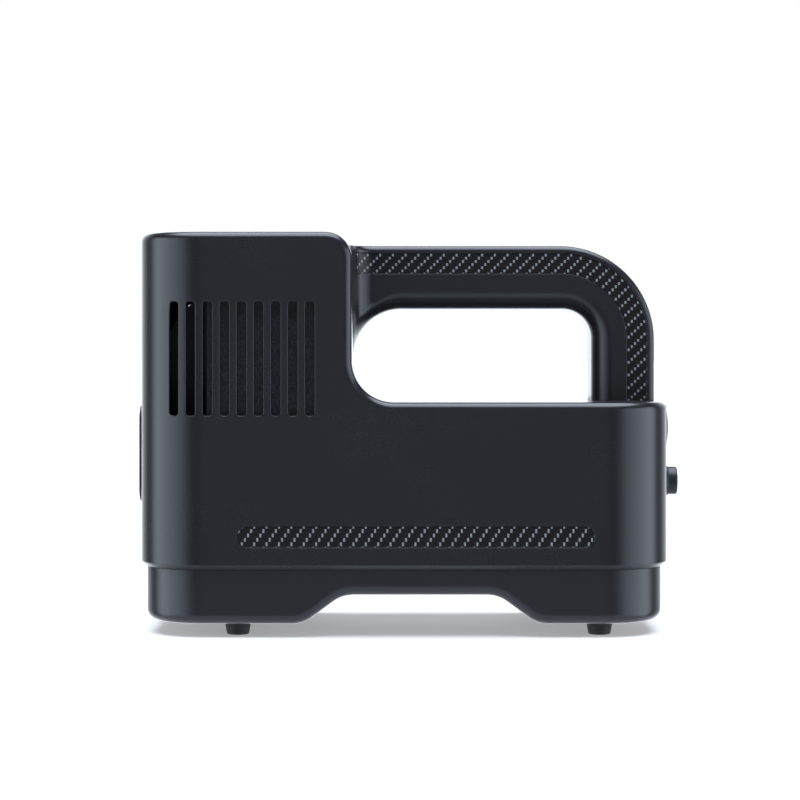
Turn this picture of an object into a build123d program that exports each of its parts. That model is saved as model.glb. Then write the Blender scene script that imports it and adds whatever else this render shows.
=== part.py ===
from build123d import *
from math import asin, atan2, cos, pi, radians, sin, tan
import os

os.makedirs("parts", exist_ok=True)

# Cordless electric air mattress pump. +X runs from the air outlet to the power button, -Y is the
# front, +Z is up. The feet stand on Z = 0 and the whole footprint is centred on the origin.
# All sizes are in millimetres. Places marked "along" are measured from the left end of the case.

# Case
case_length = 185.0
case_depth = 85.0
overall_height = 140.0
deck_height = 81.2           # top of the low part, above the ground
seam_height = 23.4           # where the shells meet the base tray
case_bevel = 1.8             # bevel under the shells, in towards the tray
case_wall = 2.4
plan_radius = 23.5           # upright corners of the case
crown_radius = 2.0           # rounding along every top edge
tower_length = 74.5
tower_corner_radius = 9.3
tower_foot_radius = 14.5     # sweep from the tower down to the deck

# Air slots and the screens behind them
slot_count = 9
slot_along = 13.1            # centre of the first slot
slot_pitch = 5.875
slot_width = 3.2
slot_height = 39.3
slot_middle = 96.25          # height of the middle of the slots
slot_corner = 1.1
screen_along = 24.5
screen_length = 41.0
screen_height = 44.0
screen_thickness = 1.6

# Strip let into each side of the case
side_strip_along = 34.9
side_strip_length = 123.2
side_strip_width = 7.3
side_strip_middle = 34.95
strip_recess = 0.8
strip_thickness = 0.6
strip_gap = 0.1

# Handle
handle_top = 136.0
handle_thickness = 22.4
handle_width = 30.0
leg_along = 159.3            # inner face of the leg
leg_thickness = 22.05
handle_outer_radius = 33.4
handle_inner_radius = 10.4
handle_wall = 2.4
handle_edge_radius = 2.0
handle_grip_radius = 6.0     # rounding of the underside, where the fingers go
handle_flare = 17.0          # sweep of the underside into the tower
handle_plan_flare = 8.0      # sweep of the sides into the tower
handle_root = 10.0           # solid length at each end
neck_size = 12.0             # square neck held by the two shells
neck_flange = 16.0
neck_flange_thickness = 3.0
neck_gap = 0.15
neck_drop = 14.0             # from the handle top to the middle of the neck in the tower
handle_strip_edge = 2.5      # from the outer edge of the handle to the strip
handle_strip_width = 7.4

# Base tray
base_bottom = 4.5
base_inset = 2.0
base_wall = 2.4
base_edge_radius = 4.0
lip_height = 3.0
lip_root = 1.5               # depth of the lip inside the tray's wall
lip_thickness = 1.4
lip_gap = 0.2
arch_left_along = 57.4       # foot of the arch's left slope
arch_right_along = 138.7
arch_slope_run = 13.8
arch_rise = 10.0
arch_radius = 12.0

# Feet
foot_left_along = 34.5
foot_right_along = 160.7
foot_spread = 56.0           # front feet to rear feet
foot_radius = 4.5
foot_bottom_radius = 3.9
foot_flange_radius = 5.0
foot_flange = 0.6
foot_stem_radius = 2.5
foot_stem = 4.5
foot_socket = 6.0

# Screws
screw_radius = 1.5
screw_head_radius = 2.8
screw_head = 1.8
screw_gap = 0.05
boss_radius = 3.6
boss_bore_radius = 3.1
head_boss_radius = 4.6       # boss round a sunk screw head
case_screw_length = 22.0
case_screw_seat = 9.0        # height of the head behind the middle plane
base_screw_length = 16.0
base_screw_seat = 18.0
base_screw_lug = 10.0
handle_screw_length = 18.0
handle_screw_sink = 2.0
board_screw_length = 6.0

# Blower
blower_along = 36.0
blower_height = 92.0
volute_depth = 26.0
volute_wall = 1.8
volute_start = 27.5          # inner radius at the tongue
eye_radius = 13.0
impeller_radius = 25.5
impeller_depth = 17.0
blade_count = 9
blade_thickness = 1.2
impeller_disc = 1.5
hub_radius = 5.0
lug_radius = 5.6
lug_thickness = 3.0
grommet_radius = 4.2
grommet_flange_radius = 4.8
grommet_flange = 1.0
grommet_bore = 1.9
lug_angles = (62.0, 118.0, -50.0)
lug_standoff = 5.0           # lug centre outside the scroll wall

# Outlet
outlet_bore = 20.0
outlet_plate = 34.2
outlet_plate_radius = 5.5
outlet_proud = 1.3
outlet_wall = 2.0
outlet_height = 62.4
outlet_tube = 9.0            # tube length inside the case face
outlet_seal = 1.2
guard_depth = 2.4
guard_step = 0.6

# Motor
rotor_radius = 17.5
rotor_length = 18.0
rotor_wall = 1.5
motor_base_radius = 16.0
motor_base_thickness = 3.0
motor_gap = 1.0
bearing_tube_radius = 6.0
bearing_tube = 17.0
bearing_radius = 4.5
bearing_width = 4.0
shaft_radius = 2.0
running_gap = 0.05
magnet_thickness = 1.8
magnet_count = 14
tooth_count = 12
stator_radius = 13.6
stator_length = 10.0
stator_offset = 5.0          # from the motor base to the stator
tooth_width = 2.2
motor_screw_circle = 10.5      # radius of the ring of motor screws

# Battery and board
cell_count = 3
cell_radius = 9.2
cell_length = 65.0
cell_gap = 0.3
cell_web = 0.6               # of the pack, between two cells
pack_along = 74.0
pack_wall = 1.6
pack_end = 2.1
tab_thickness = 0.2
board_length = 56.0
board_width = 44.0
board_thickness = 1.6
board_standoff = 6.0
lead_radius = 0.8
lead_pitch = 2.2

# Button and charging socket
button_height = 52.0
button_radius = 5.0
button_proud = 5.8
button_travel = 1.5
button_body = 9.5            # length of the cap along its slide
bezel_proud = 2.5
bezel_base_radius = 6.15
bezel_tip_radius = 5.45
barrel_radius = 5.9
barrel_length = 16.0
panel_gap = 0.1
spring_radius = 3.2
spring_wire = 0.5
socket_height = 71.4
socket_radius = 6.15
socket_ring = 1.0
socket_cover = 0.9
socket_proud = 2.1
socket_barrel_radius = 5.6
socket_barrel = 6.0
hinge_radius = 0.9
hinge_pin_radius = 0.45
nut_radius = 7.0
nut_clear = 0.4              # from the socket's nut to the deck above it
nut_thickness = 2.5
nut_notches = 8
nut_notch_radius = 0.8
switch_length = 9.0

# Places worked out from the sizes above
case_left = (outlet_proud - button_proud) / 2 - case_length / 2
case_right = case_left + case_length
front_face = -case_depth / 2
tower_right = case_left + tower_length
inner_half_depth = case_depth / 2 - case_wall
handle_under = handle_top - handle_thickness
leg_left = case_left + leg_along
leg_right = leg_left + leg_thickness
blower_x = case_left + blower_along
duct_top = outlet_height + outlet_bore / 2
duct_bottom = outlet_height - outlet_bore / 2
volute_front = -volute_depth / 2
volute_rear = volute_depth / 2
duct_end = case_left + outlet_tube + outlet_seal
CENTRE = (Align.CENTER, Align.CENTER)


def upright(y):
    """Plane that faces the front, at y. Its own axes are X and Z."""
    return Plane.XZ.offset(-y)


def blower_plane(y):
    """Plane that faces the front at y, centred on the blower's axis."""
    return Plane(origin=(blower_x, y, blower_height), x_dir=(1, 0, 0), z_dir=(0, -1, 0))


def end_plane(x, height):
    """Plane that faces the right end at x, centred at a height. Its own axes are Y and Z."""
    return Plane(origin=(x, 0, height), x_dir=(0, 1, 0), z_dir=(1, 0, 0))


def rim(form, wanted):
    """Edges that bound the wanted faces as one patch."""
    edges = [edge for face in form.faces().filter_by(wanted) for edge in face.edges()]
    return ShapeList(e for e in edges if sum(e.is_same(other) for other in edges) == 1)


def near(builder, x, y):
    """The sketch's corner nearest to a point in its own plane."""
    return builder.vertices().sort_by_distance((x, y, 0))[0]


def finish(builder, name):
    """Name a finished piece and write it."""
    builder.part.label = name
    export_step(builder.part, f"parts/{name}.step")


def case_form(inset, bottom, crown=0):
    """The case as one solid, every face moved inwards by the inset."""
    left, right = case_left + inset, case_right - inset
    tower, deck, top = tower_right - inset, deck_height - inset, overall_height - inset
    with BuildPart() as form:
        with BuildSketch(Plane.XZ) as side:
            with Locations((left, bottom)):
                Rectangle(right - left, deck - bottom, align=(Align.MIN, Align.MIN))
                Rectangle(tower - left, top - bottom, align=(Align.MIN, Align.MIN))
            fillet(near(side, tower, top), tower_corner_radius - inset)
            fillet(near(side, tower, deck), tower_foot_radius + inset)
        extrude(amount=case_depth / 2 - inset, both=True)
        uprights = form.edges().filter_by(Axis.Z).group_by(Axis.X)
        fillet(uprights[0] + uprights[-1], plan_radius - inset)
        if crown:
            def on_top(face):
                middle = face.center()
                flat = abs(face.normal_at().Y) < 0.01
                return flat and left + 0.1 < middle.X < right - 0.1 and middle.Z > bottom + 0.1
            fillet(rim(form, on_top), crown)
    return form.part


def handle_form(inset, start, deck_end, flare):
    """The handle as one solid from x = start round to its end above the deck."""
    top, under = handle_top - inset, handle_under + inset
    inner, outer = leg_left + inset, leg_right - inset
    half = handle_width / 2 - inset
    with BuildPart() as form:
        with BuildSketch(Plane.XZ) as side:
            with BuildLine():
                bend = tower_right + handle_flare if flare else start
                Polyline((start, top), (outer, top), (outer, deck_end), (inner, deck_end), (inner, under),
                         (bend, under))
                if flare:
                    CenterArc((bend, under - handle_flare), handle_flare, 90, 90)
                    Polyline((tower_right, under - handle_flare), (start, under - handle_flare), (start, top))
                else:
                    Line((start, under), (start, top))
            make_face()
            fillet(near(side, outer, top), handle_outer_radius - inset)
            fillet(near(side, inner, under), handle_inner_radius + inset)
        extrude(amount=half + handle_plan_flare, both=True)
        with BuildSketch():
            with Locations((start, 0)):
                Rectangle(outer - start, 2 * half, align=(Align.MIN, Align.CENTER))
            if flare:
                for turn in (1, -1):
                    with BuildLine():
                        Polyline((tower_right + handle_plan_flare, 0), (start, 0),
                                 (start, turn * (half + handle_plan_flare)),
                                 (tower_right, turn * (half + handle_plan_flare)))
                        CenterArc((tower_right + handle_plan_flare, turn * (half + handle_plan_flare)),
                                  handle_plan_flare, 180, 90 * turn)
                        Line((tower_right + handle_plan_flare, turn * half), (tower_right + handle_plan_flare, 0))
                    make_face()
        extrude(amount=overall_height, mode=Mode.INTERSECT)
    return form.part


def base_form(inset, top):
    """The base tray as one solid, every face moved inwards by the inset."""
    left = case_left + base_inset + inset
    right = case_right - base_inset - inset
    bottom = base_bottom + inset
    shift = inset * tan(atan2(arch_rise, arch_slope_run) / 2)
    foot_left = case_left + arch_left_along - shift
    foot_right = case_left + arch_right_along + shift
    with BuildPart() as form:
        with BuildSketch(Plane.XZ) as side:
            with BuildLine():
                Polyline((left, top), (left, bottom), (foot_left, bottom),
                         (foot_left + arch_slope_run, bottom + arch_rise),
                         (foot_right - arch_slope_run, bottom + arch_rise),
                         (foot_right, bottom), (right, bottom), (right, top), close=True)
            make_face()
            for foot, step in ((foot_left, arch_slope_run), (foot_right, -arch_slope_run)):
                fillet(near(side, foot, bottom), arch_radius - inset)
                fillet(near(side, foot + step, bottom + arch_rise), arch_radius + inset)
        extrude(amount=case_depth / 2 - base_inset - inset, both=True)
        uprights = form.edges().filter_by(Axis.Z).group_by(Axis.X)
        fillet(uprights[0] + uprights[-1], plan_radius - base_inset - inset)
    return form.part


def screw_form(length):
    """Pan-head screw: its head hangs below Z = 0 and its shank stands above."""
    with BuildPart() as form:
        Cylinder(screw_head_radius, screw_head, align=CENTRE + (Align.MAX,))
        Cylinder(screw_radius, length, align=CENTRE + (Align.MIN,))
        with BuildSketch(Plane.XY.offset(-screw_head)):
            RegularPolygon(1.3, 6)
        extrude(amount=1.0, mode=Mode.SUBTRACT)
    return form.part


def tongue_angle(grow):
    """Angle of the scroll's tongue, counter-clockwise from +X, where its wall meets the duct's top."""
    return pi + asin((blower_height - duct_top - grow) / (volute_start + grow))


def scroll_radius(angle, grow):
    """Distance from the axis to the scroll wall: it opens with the square of the turn from the tongue."""
    turned = (tongue_angle(grow) - angle) / (tongue_angle(grow) + pi / 2)
    return volute_start + grow + (blower_height - duct_bottom - volute_start) * turned**2


def scroll_face(grow, end):
    """Outline of scroll and duct round the blower's axis, moved outwards by grow."""
    start, steps = tongue_angle(grow), 12
    angles = [start - (start + pi / 2) * step / steps for step in range(steps + 1)]
    points = [(scroll_radius(a, grow) * cos(a), scroll_radius(a, grow) * sin(a)) for a in angles]
    mouth = end - blower_x
    with BuildSketch() as face:
        with BuildLine():
            Spline(*points)
            Polyline(points[-1], (mouth, points[-1][1]), (mouth, points[0][1]), points[0])
        make_face()
    return face.sketch


# Lugs round the scroll, which carry the blower on rubber grommets, as X and Z
lug_places = []
for lug_angle in map(radians, lug_angles):
    reach = scroll_radius(lug_angle, volute_wall) + lug_standoff
    lug_places.append((blower_x + reach * cos(lug_angle), blower_height + reach * sin(lug_angle)))
lug_half = lug_thickness / 2 + grommet_flange

# Screws that join the shells straight to each other, as X and Z
seam_screw_places = [
    (case_left + 12, 36),
    (tower_right + 8, deck_height - 11),
    (leg_left - 1.5, deck_height - 15),
    (case_right - 9.5, 36),
]
case_screw_places = lug_places + seam_screw_places

# Screws that hold the base tray, as X and Y; the lugs in the shells start above the tray's lip
base_screw_reach = inner_half_depth - base_screw_lug
base_lug_bottom = seam_height + lip_height + 0.5
base_screw_alongs = (47.0, 150.0)
base_screw_places = [(case_left + along, side * base_screw_reach) for along in base_screw_alongs for side in (-1, 1)]
foot_places = [
    (case_left + along, side * foot_spread / 2) for along in (foot_left_along, foot_right_along) for side in (-1, 1)
]

# The handle's necks: one through the tower's wall, one through the deck
neck_height = handle_top - neck_drop
neck_x = (leg_left + leg_right) / 2
neck_depth = case_wall + neck_gap + neck_flange_thickness

# Screws of the handle sit under its strips, as X and Z
strip_line = handle_strip_edge + handle_strip_width / 2
handle_screw_places = [
    (tower_right + 22, handle_top - strip_line),
    (leg_left - 22, handle_top - strip_line),
    (leg_right - strip_line, deck_height + 20),
]

# The two screens hang on pegs
screen_left = case_left + screen_along
peg_places = [
    (screen_left + screen_length / 2 + sx * (screen_length / 2 - 2), slot_middle + sz * (screen_height / 2 - 1.2))
    for sx in (-1, 1) for sz in (-1, 1)
]
peg_radius = 0.6


# ---- Case shells ----

# What both shells share, as the front half
with BuildPart() as half_case:
    add(case_form(0, seam_height, crown_radius))
    chamfer(half_case.faces().sort_by(Axis.Z)[0].edges(), case_bevel)
    add(case_form(case_wall, seam_height - 1), mode=Mode.SUBTRACT)
    split(bisect_by=Plane.XZ, keep=Keep.TOP)
    with BuildSketch(upright(0)):
        for slot in range(slot_count):
            with Locations((case_left + slot_along + slot * slot_pitch, slot_middle)):
                RectangleRounded(slot_width, slot_height, slot_corner)
    extrude(amount=case_depth, mode=Mode.SUBTRACT)
    with BuildSketch(upright(front_face + strip_recess)):
        with Locations((case_left + side_strip_along + side_strip_length / 2, side_strip_middle)):
            SlotOverall(side_strip_length, side_strip_width)
    extrude(amount=1, mode=Mode.SUBTRACT)
    # bosses that reach the middle plane, and shorter ones that stop at the grommets
    with BuildSketch(upright(0)):
        with Locations(*seam_screw_places):
            Circle(head_boss_radius)
    extrude(until=Until.NEXT)
    with BuildSketch(upright(-lug_half)):
        with Locations(*lug_places):
            Circle(head_boss_radius)
    extrude(until=Until.NEXT)
    with BuildSketch(upright(-inner_half_depth)):
        with Locations(*peg_places):
            Circle(peg_radius)
    extrude(amount=-screen_thickness)
    # lugs over the base screws, each on a web from the side wall
    with BuildSketch(Plane.XY.offset(base_lug_bottom)):
        for x, y in base_screw_places:
            if y < 0:
                with Locations((x, y)):
                    Circle(boss_radius)
                    Rectangle(3, base_screw_lug, align=(Align.CENTER, Align.MAX))
    extrude(amount=base_screw_lug)
    # half holes in the middle plane: outlet tube, button, charging socket, handle necks
    with BuildSketch(end_plane(case_left - 1, outlet_height)):
        Circle(outlet_bore / 2 + outlet_wall + panel_gap)
    extrude(amount=case_wall + 2, mode=Mode.SUBTRACT)
    for height, radius in ((button_height, barrel_radius), (socket_height, socket_barrel_radius)):
        with BuildSketch(end_plane(case_right - case_wall - 1, height)):
            Circle(radius + panel_gap)
        extrude(amount=case_wall + 2, mode=Mode.SUBTRACT)
    with BuildSketch(end_plane(tower_right - case_wall - 1, neck_height)):
        Rectangle(neck_size + 2 * neck_gap, neck_size + 2 * neck_gap)
    extrude(amount=case_wall + 2, mode=Mode.SUBTRACT)
    with BuildSketch(Plane.XY.offset(deck_height - case_wall - 1)):
        with Locations((neck_x, 0)):
            Rectangle(neck_size + 2 * neck_gap, neck_size + 2 * neck_gap)
    extrude(amount=case_wall + 2, mode=Mode.SUBTRACT)
    # blind holes for the base screws
    with BuildSketch(Plane.XY.offset(base_lug_bottom)):
        with Locations(*base_screw_places):
            Circle(screw_radius + screw_gap)
    extrude(amount=base_screw_lug - 1, mode=Mode.SUBTRACT)

with BuildPart() as front_shell:
    add(half_case.part)
    with BuildSketch(upright(0)):
        with Locations(*case_screw_places):
            Circle(screw_radius + screw_gap)
    extrude(amount=case_screw_length - case_screw_seat + 1, mode=Mode.SUBTRACT)
finish(front_shell, "front_shell")

with BuildPart() as rear_shell:
    add(half_case.part)
    mirror(about=Plane.XZ, mode=Mode.REPLACE)
    with BuildSketch(upright(0)):
        with Locations(*case_screw_places):
            Circle(screw_radius + screw_gap)
    extrude(amount=-case_screw_seat, mode=Mode.SUBTRACT)
    with BuildSketch(upright(case_screw_seat)):
        with Locations(*case_screw_places):
            Circle(boss_bore_radius)
    extrude(amount=-case_depth, mode=Mode.SUBTRACT)
finish(rear_shell, "rear_shell")

with BuildPart() as case_screws:
    for x, z in case_screw_places:
        with Locations(Location((x, case_screw_seat, z), (90, 0, 0))):
            add(screw_form(case_screw_length))
finish(case_screws, "case_screws")


# ---- Screens and side strips ----

for side, name in ((-1, "front_screen"), (1, "rear_screen")):
    with BuildPart() as screen:
        with BuildSketch(upright(side * (inner_half_depth - screen_thickness))):
            with Locations((screen_left + screen_length / 2, slot_middle)):
                RectangleRounded(screen_length, screen_height, 1.5)
            with Locations(*peg_places):
                Circle(peg_radius + screw_gap, mode=Mode.SUBTRACT)
        extrude(amount=-side * screen_thickness)
    finish(screen, name)

for side, name in ((-1, "front_side_strip"), (1, "rear_side_strip")):
    with BuildPart() as side_strip:
        with BuildSketch(upright(side * (case_depth / 2 - strip_recess))):
            with Locations((case_left + side_strip_along + side_strip_length / 2, side_strip_middle)):
                SlotOverall(side_strip_length - 2 * strip_gap, side_strip_width - 2 * strip_gap)
        extrude(amount=-side * strip_thickness)
    finish(side_strip, name)


# ---- Handle ----

def handle_strip_face(gap):
    """The strip that follows the handle's outer edge, each side moved inwards by the gap."""
    near_edge = handle_strip_edge + gap
    far_edge = handle_strip_edge + handle_strip_width - gap
    start, end = tower_right + handle_plan_flare + gap, deck_height + gap
    with BuildSketch() as face:
        with BuildLine():
            Polyline((start, handle_top - near_edge), (leg_right - near_edge, handle_top - near_edge),
                     (leg_right - near_edge, end), (leg_right - far_edge, end),
                     (leg_right - far_edge, handle_top - far_edge), (start, handle_top - far_edge), close=True)
        make_face()
        for edge in (near_edge, far_edge):
            fillet(near(face, leg_right - edge, handle_top - edge), handle_outer_radius - edge)
    return face.sketch


def on_outside(face):
    """Faces of the handle that run along its top, round the bend and down the leg's outer side."""
    middle = face.center()
    return abs(face.normal_at().Y) < 0.01 and (middle.Z > handle_top - 12 or middle.X > leg_right - 0.1)


with BuildPart() as half_handle:
    add(handle_form(0, tower_right - 4, deck_height, True))
    fillet(rim(half_handle, on_outside).filter_by(lambda e: abs(e.center().Y) > 1), handle_edge_radius)
    grip = half_handle.edges().filter_by(
        lambda e: abs(abs(e.center().Y) - handle_width / 2) < 0.01
        and e.center().Z < handle_under + 0.01
        and e.center().X < leg_left + 0.01
    )
    fillet(grip, handle_grip_radius)
    add(case_form(0, seam_height), mode=Mode.SUBTRACT)
    add(handle_form(handle_wall, tower_right + handle_root, deck_height + handle_root, False), mode=Mode.SUBTRACT)
    split(bisect_by=Plane.XZ, keep=Keep.TOP)
    with BuildSketch(upright(0)):
        with Locations(*handle_screw_places):
            Circle(boss_radius)
    extrude(amount=handle_width / 2 - handle_wall)
    # necks through the case walls, each with a flange inside
    with BuildSketch(end_plane(tower_right - neck_depth, neck_height)):
        Rectangle(neck_size, neck_size)
    extrude(amount=neck_depth + handle_root / 2)
    with BuildSketch(end_plane(tower_right - neck_depth, neck_height)):
        Rectangle(neck_flange, neck_flange)
    extrude(amount=neck_flange_thickness)
    with BuildSketch(Plane.XY.offset(deck_height - neck_depth)):
        with Locations((neck_x, 0)):
            Rectangle(neck_size, neck_size)
    extrude(amount=neck_depth + handle_root / 2)
    with BuildSketch(Plane.XY.offset(deck_height - neck_depth)):
        with Locations((neck_x, 0)):
            Rectangle(neck_flange, neck_flange)
    extrude(amount=neck_flange_thickness)
    split(bisect_by=Plane.XZ, keep=Keep.TOP)
    with BuildSketch(upright(strip_recess - handle_width / 2)):
        add(handle_strip_face(0))
    extrude(amount=1, mode=Mode.SUBTRACT)

handle_seat = handle_width / 2 - strip_recess - handle_screw_sink
with BuildPart() as handle_front:
    add(half_handle.part)
    with BuildSketch(upright(0)):
        with Locations(*handle_screw_places):
            Circle(screw_radius + screw_gap)
    extrude(amount=handle_screw_length - handle_seat + 1, mode=Mode.SUBTRACT)
finish(handle_front, "handle_front")

with BuildPart() as handle_rear:
    add(half_handle.part)
    mirror(about=Plane.XZ, mode=Mode.REPLACE)
    with BuildSketch(upright(0)):
        with Locations(*handle_screw_places):
            Circle(screw_radius + screw_gap)
    extrude(amount=-handle_width, mode=Mode.SUBTRACT)
    with BuildSketch(upright(handle_seat)):
        with Locations(*handle_screw_places):
            Circle(boss_bore_radius)
    extrude(amount=-handle_width, mode=Mode.SUBTRACT)
finish(handle_rear, "handle_rear")

for side, name in ((-1, "front_handle_strip"), (1, "rear_handle_strip")):
    with BuildPart() as handle_strip:
        with BuildSketch(upright(side * (handle_width / 2 - strip_recess))):
            add(handle_strip_face(strip_gap))
        extrude(amount=-side * strip_thickness)
    finish(handle_strip, name)

with BuildPart() as handle_screws:
    for x, z in handle_screw_places:
        with Locations(Location((x, handle_seat, z), (90, 0, 0))):
            add(screw_form(handle_screw_length))
finish(handle_screws, "handle_screws")


# ---- Base tray and feet ----

def on_underside(face):
    """Faces that run along the tray's bottom and over its arch."""
    middle = face.center()
    return abs(face.normal_at().Y) < 0.01 and face.normal_at().Z < -0.5 and middle.Z < seam_height - 1


with BuildPart() as base_tray:
    add(base_form(0, seam_height))
    fillet(rim(base_tray, on_underside), base_edge_radius)
    add(base_form(base_wall, seam_height + 1), mode=Mode.SUBTRACT)
    # lip that stands inside the shells
    lip_inset = case_wall + lip_gap
    with BuildSketch(Plane.XY.offset(seam_height - lip_root)):
        with Locations(((case_left + case_right) / 2, 0)):
            for inset, mode in ((lip_inset, Mode.ADD), (lip_inset + lip_thickness, Mode.SUBTRACT)):
                RectangleRounded(case_length - 2 * inset, case_depth - 2 * inset, plan_radius - inset, mode=mode)
    extrude(amount=lip_height + lip_root)
    # posts for the base screws and sockets for the feet
    with BuildSketch(Plane.XY.offset(base_bottom)):
        with Locations(*base_screw_places):
            Circle(head_boss_radius)
    extrude(amount=base_lug_bottom - base_bottom)
    with BuildSketch(Plane.XY.offset(base_bottom)):
        with Locations(*foot_places):
            Circle(foot_stem_radius + 2)
    extrude(amount=foot_socket + 1.5)
    with BuildSketch(Plane.XY.offset(base_bottom)):
        with Locations(*foot_places):
            Circle(foot_stem_radius)
    extrude(amount=foot_socket, mode=Mode.SUBTRACT)
    with BuildSketch(Plane.XY.offset(base_bottom)):
        with Locations(*base_screw_places):
            Circle(boss_bore_radius)
    extrude(amount=base_screw_seat - base_bottom, mode=Mode.SUBTRACT)
    with BuildSketch(Plane.XY.offset(base_bottom)):
        with Locations(*base_screw_places):
            Circle(screw_radius + screw_gap)
    extrude(amount=base_lug_bottom, mode=Mode.SUBTRACT)
finish(base_tray, "base_tray")

with BuildPart() as base_screws:
    for x, y in base_screw_places:
        with Locations((x, y, base_screw_seat)):
            add(screw_form(base_screw_length))
finish(base_screws, "base_screws")

with BuildPart() as feet:
    for x, y in foot_places:
        with BuildSketch(Plane(origin=(x, y, 0), x_dir=(1, 0, 0), z_dir=(0, -1, 0))):
            with BuildLine():
                Polyline((0, 0), (foot_bottom_radius, 0), (foot_radius, base_bottom - foot_flange),
                         (foot_flange_radius, base_bottom - foot_flange), (foot_flange_radius, base_bottom),
                         (foot_stem_radius, base_bottom), (foot_stem_radius, base_bottom + foot_stem),
                         (0, base_bottom + foot_stem), close=True)
            make_face()
        revolve(axis=Axis((x, y, 0), (0, 0, 1)))
    fillet(feet.edges().filter_by(GeomType.CIRCLE).group_by(Axis.Z)[0], 0.5)
finish(feet, "feet")


# ---- Outlet ----

with BuildPart() as outlet_flange:
    with BuildSketch(end_plane(case_left - outlet_proud, outlet_height)):
        RectangleRounded(outlet_plate, outlet_plate, outlet_plate_radius)
    extrude(amount=outlet_proud)
    fillet(outlet_flange.faces().sort_by(Axis.X)[0].edges(), outlet_proud * 0.6)
    with BuildSketch(end_plane(case_left, outlet_height)):
        Circle(outlet_bore / 2 + outlet_wall)
    extrude(amount=outlet_tube)
    with BuildSketch(end_plane(case_left - outlet_proud, outlet_height)):
        Circle(outlet_bore / 2)
    extrude(amount=outlet_tube + outlet_proud, mode=Mode.SUBTRACT)
    with BuildSketch(end_plane(case_left + outlet_tube - guard_depth, outlet_height)):
        Circle(outlet_bore / 2 + guard_step)
    extrude(amount=guard_depth, mode=Mode.SUBTRACT)
finish(outlet_flange, "outlet_flange")

with BuildPart() as outlet_guard:
    with BuildSketch(end_plane(case_left + outlet_tube - guard_depth, outlet_height)):
        Circle(outlet_bore / 2 + guard_step - screw_gap)
        Circle(outlet_bore / 2 - guard_step, mode=Mode.SUBTRACT)
        with PolarLocations(0, 3):
            Rectangle(outlet_bore, 1.2)
        Circle(3.5)
        Circle(2.3, mode=Mode.SUBTRACT)
    extrude(amount=guard_depth)
finish(outlet_guard, "outlet_guard")

with BuildPart() as outlet_gasket:
    with BuildSketch(end_plane(case_left + outlet_tube, outlet_height)):
        Circle(outlet_bore / 2 + outlet_wall - 0.2)
        Circle(outlet_bore / 2 - guard_step, mode=Mode.SUBTRACT)
    extrude(amount=outlet_seal)
finish(outlet_gasket, "outlet_gasket")


# ---- Blower ----

with BuildPart() as volute_body:
    with BuildSketch(blower_plane(volute_rear)):
        add(scroll_face(volute_wall, duct_end))
    extrude(amount=volute_depth - volute_wall)
    with BuildSketch(upright(lug_thickness / 2)):
        with Locations(*lug_places):
            Circle(lug_radius)
    extrude(amount=lug_thickness)
    with BuildSketch(blower_plane(volute_rear - volute_wall)):
        add(scroll_face(0, duct_end - 1))
    extrude(amount=volute_depth, mode=Mode.SUBTRACT)
    with BuildSketch(upright(lug_thickness / 2)):
        with Locations(*lug_places):
            Circle(grommet_radius)
    extrude(amount=lug_thickness, mode=Mode.SUBTRACT)
    with BuildSketch(blower_plane(volute_rear)):
        Circle(hub_radius + 1)
        with PolarLocations(motor_screw_circle, 3, 90):
            Circle(screw_radius + screw_gap)
    extrude(amount=volute_wall, mode=Mode.SUBTRACT)
    with BuildSketch(end_plane(duct_end - 2, outlet_height)):
        Rectangle(volute_depth - 2 * volute_wall, outlet_bore)
    extrude(amount=4, mode=Mode.SUBTRACT)
finish(volute_body, "volute_body")

with BuildPart() as volute_cover:
    with BuildSketch(blower_plane(volute_front + volute_wall)):
        add(scroll_face(volute_wall, duct_end))
        Circle(eye_radius, mode=Mode.SUBTRACT)
    extrude(amount=volute_wall)
    # raised lip round the eye
    with BuildSketch(blower_plane(volute_front)):
        Circle(eye_radius + 1.5)
        Circle(eye_radius, mode=Mode.SUBTRACT)
    extrude(amount=1.2)
finish(volute_cover, "volute_cover")

with BuildPart() as blower_grommets:
    with BuildSketch(upright(lug_half)):
        with Locations(*lug_places):
            Circle(grommet_radius)
    extrude(amount=2 * lug_half)
    for y in (lug_half, -lug_thickness / 2):
        with BuildSketch(upright(y)):
            with Locations(*lug_places):
                Circle(grommet_flange_radius)
        extrude(amount=grommet_flange)
    with BuildSketch(upright(lug_half)):
        with Locations(*lug_places):
            Circle(grommet_bore)
    extrude(amount=2 * lug_half, mode=Mode.SUBTRACT)
finish(blower_grommets, "blower_grommets")

impeller_front = -impeller_depth / 2
impeller_rear = impeller_depth / 2
blade_front = impeller_front + impeller_disc

with BuildSketch() as blade:
    with BuildLine():
        RadiusArc((eye_radius - 1, 0), (0.75 * impeller_radius, 0.6 * impeller_radius), 1.2 * impeller_radius)
    trace(line_width=blade_thickness)

with BuildPart() as impeller_wheel:
    with BuildSketch(blower_plane(impeller_rear)):
        Circle(impeller_radius)
    extrude(amount=impeller_disc)
    with BuildSketch(blower_plane(impeller_rear)):
        Circle(hub_radius)
    extrude(amount=impeller_depth)
    with BuildSketch(blower_plane(impeller_rear - impeller_disc)):
        with PolarLocations(0, blade_count):
            add(blade.sketch)
    extrude(amount=impeller_depth - 2 * impeller_disc)
    with BuildSketch(blower_plane(impeller_rear)):
        Circle(shaft_radius)
    extrude(amount=impeller_depth, mode=Mode.SUBTRACT)
finish(impeller_wheel, "impeller_wheel")

with BuildPart() as impeller_shroud:
    with BuildSketch(blower_plane(blade_front)):
        Circle(impeller_radius)
        Circle(eye_radius, mode=Mode.SUBTRACT)
    extrude(amount=impeller_disc)
finish(impeller_shroud, "impeller_shroud")

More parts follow.
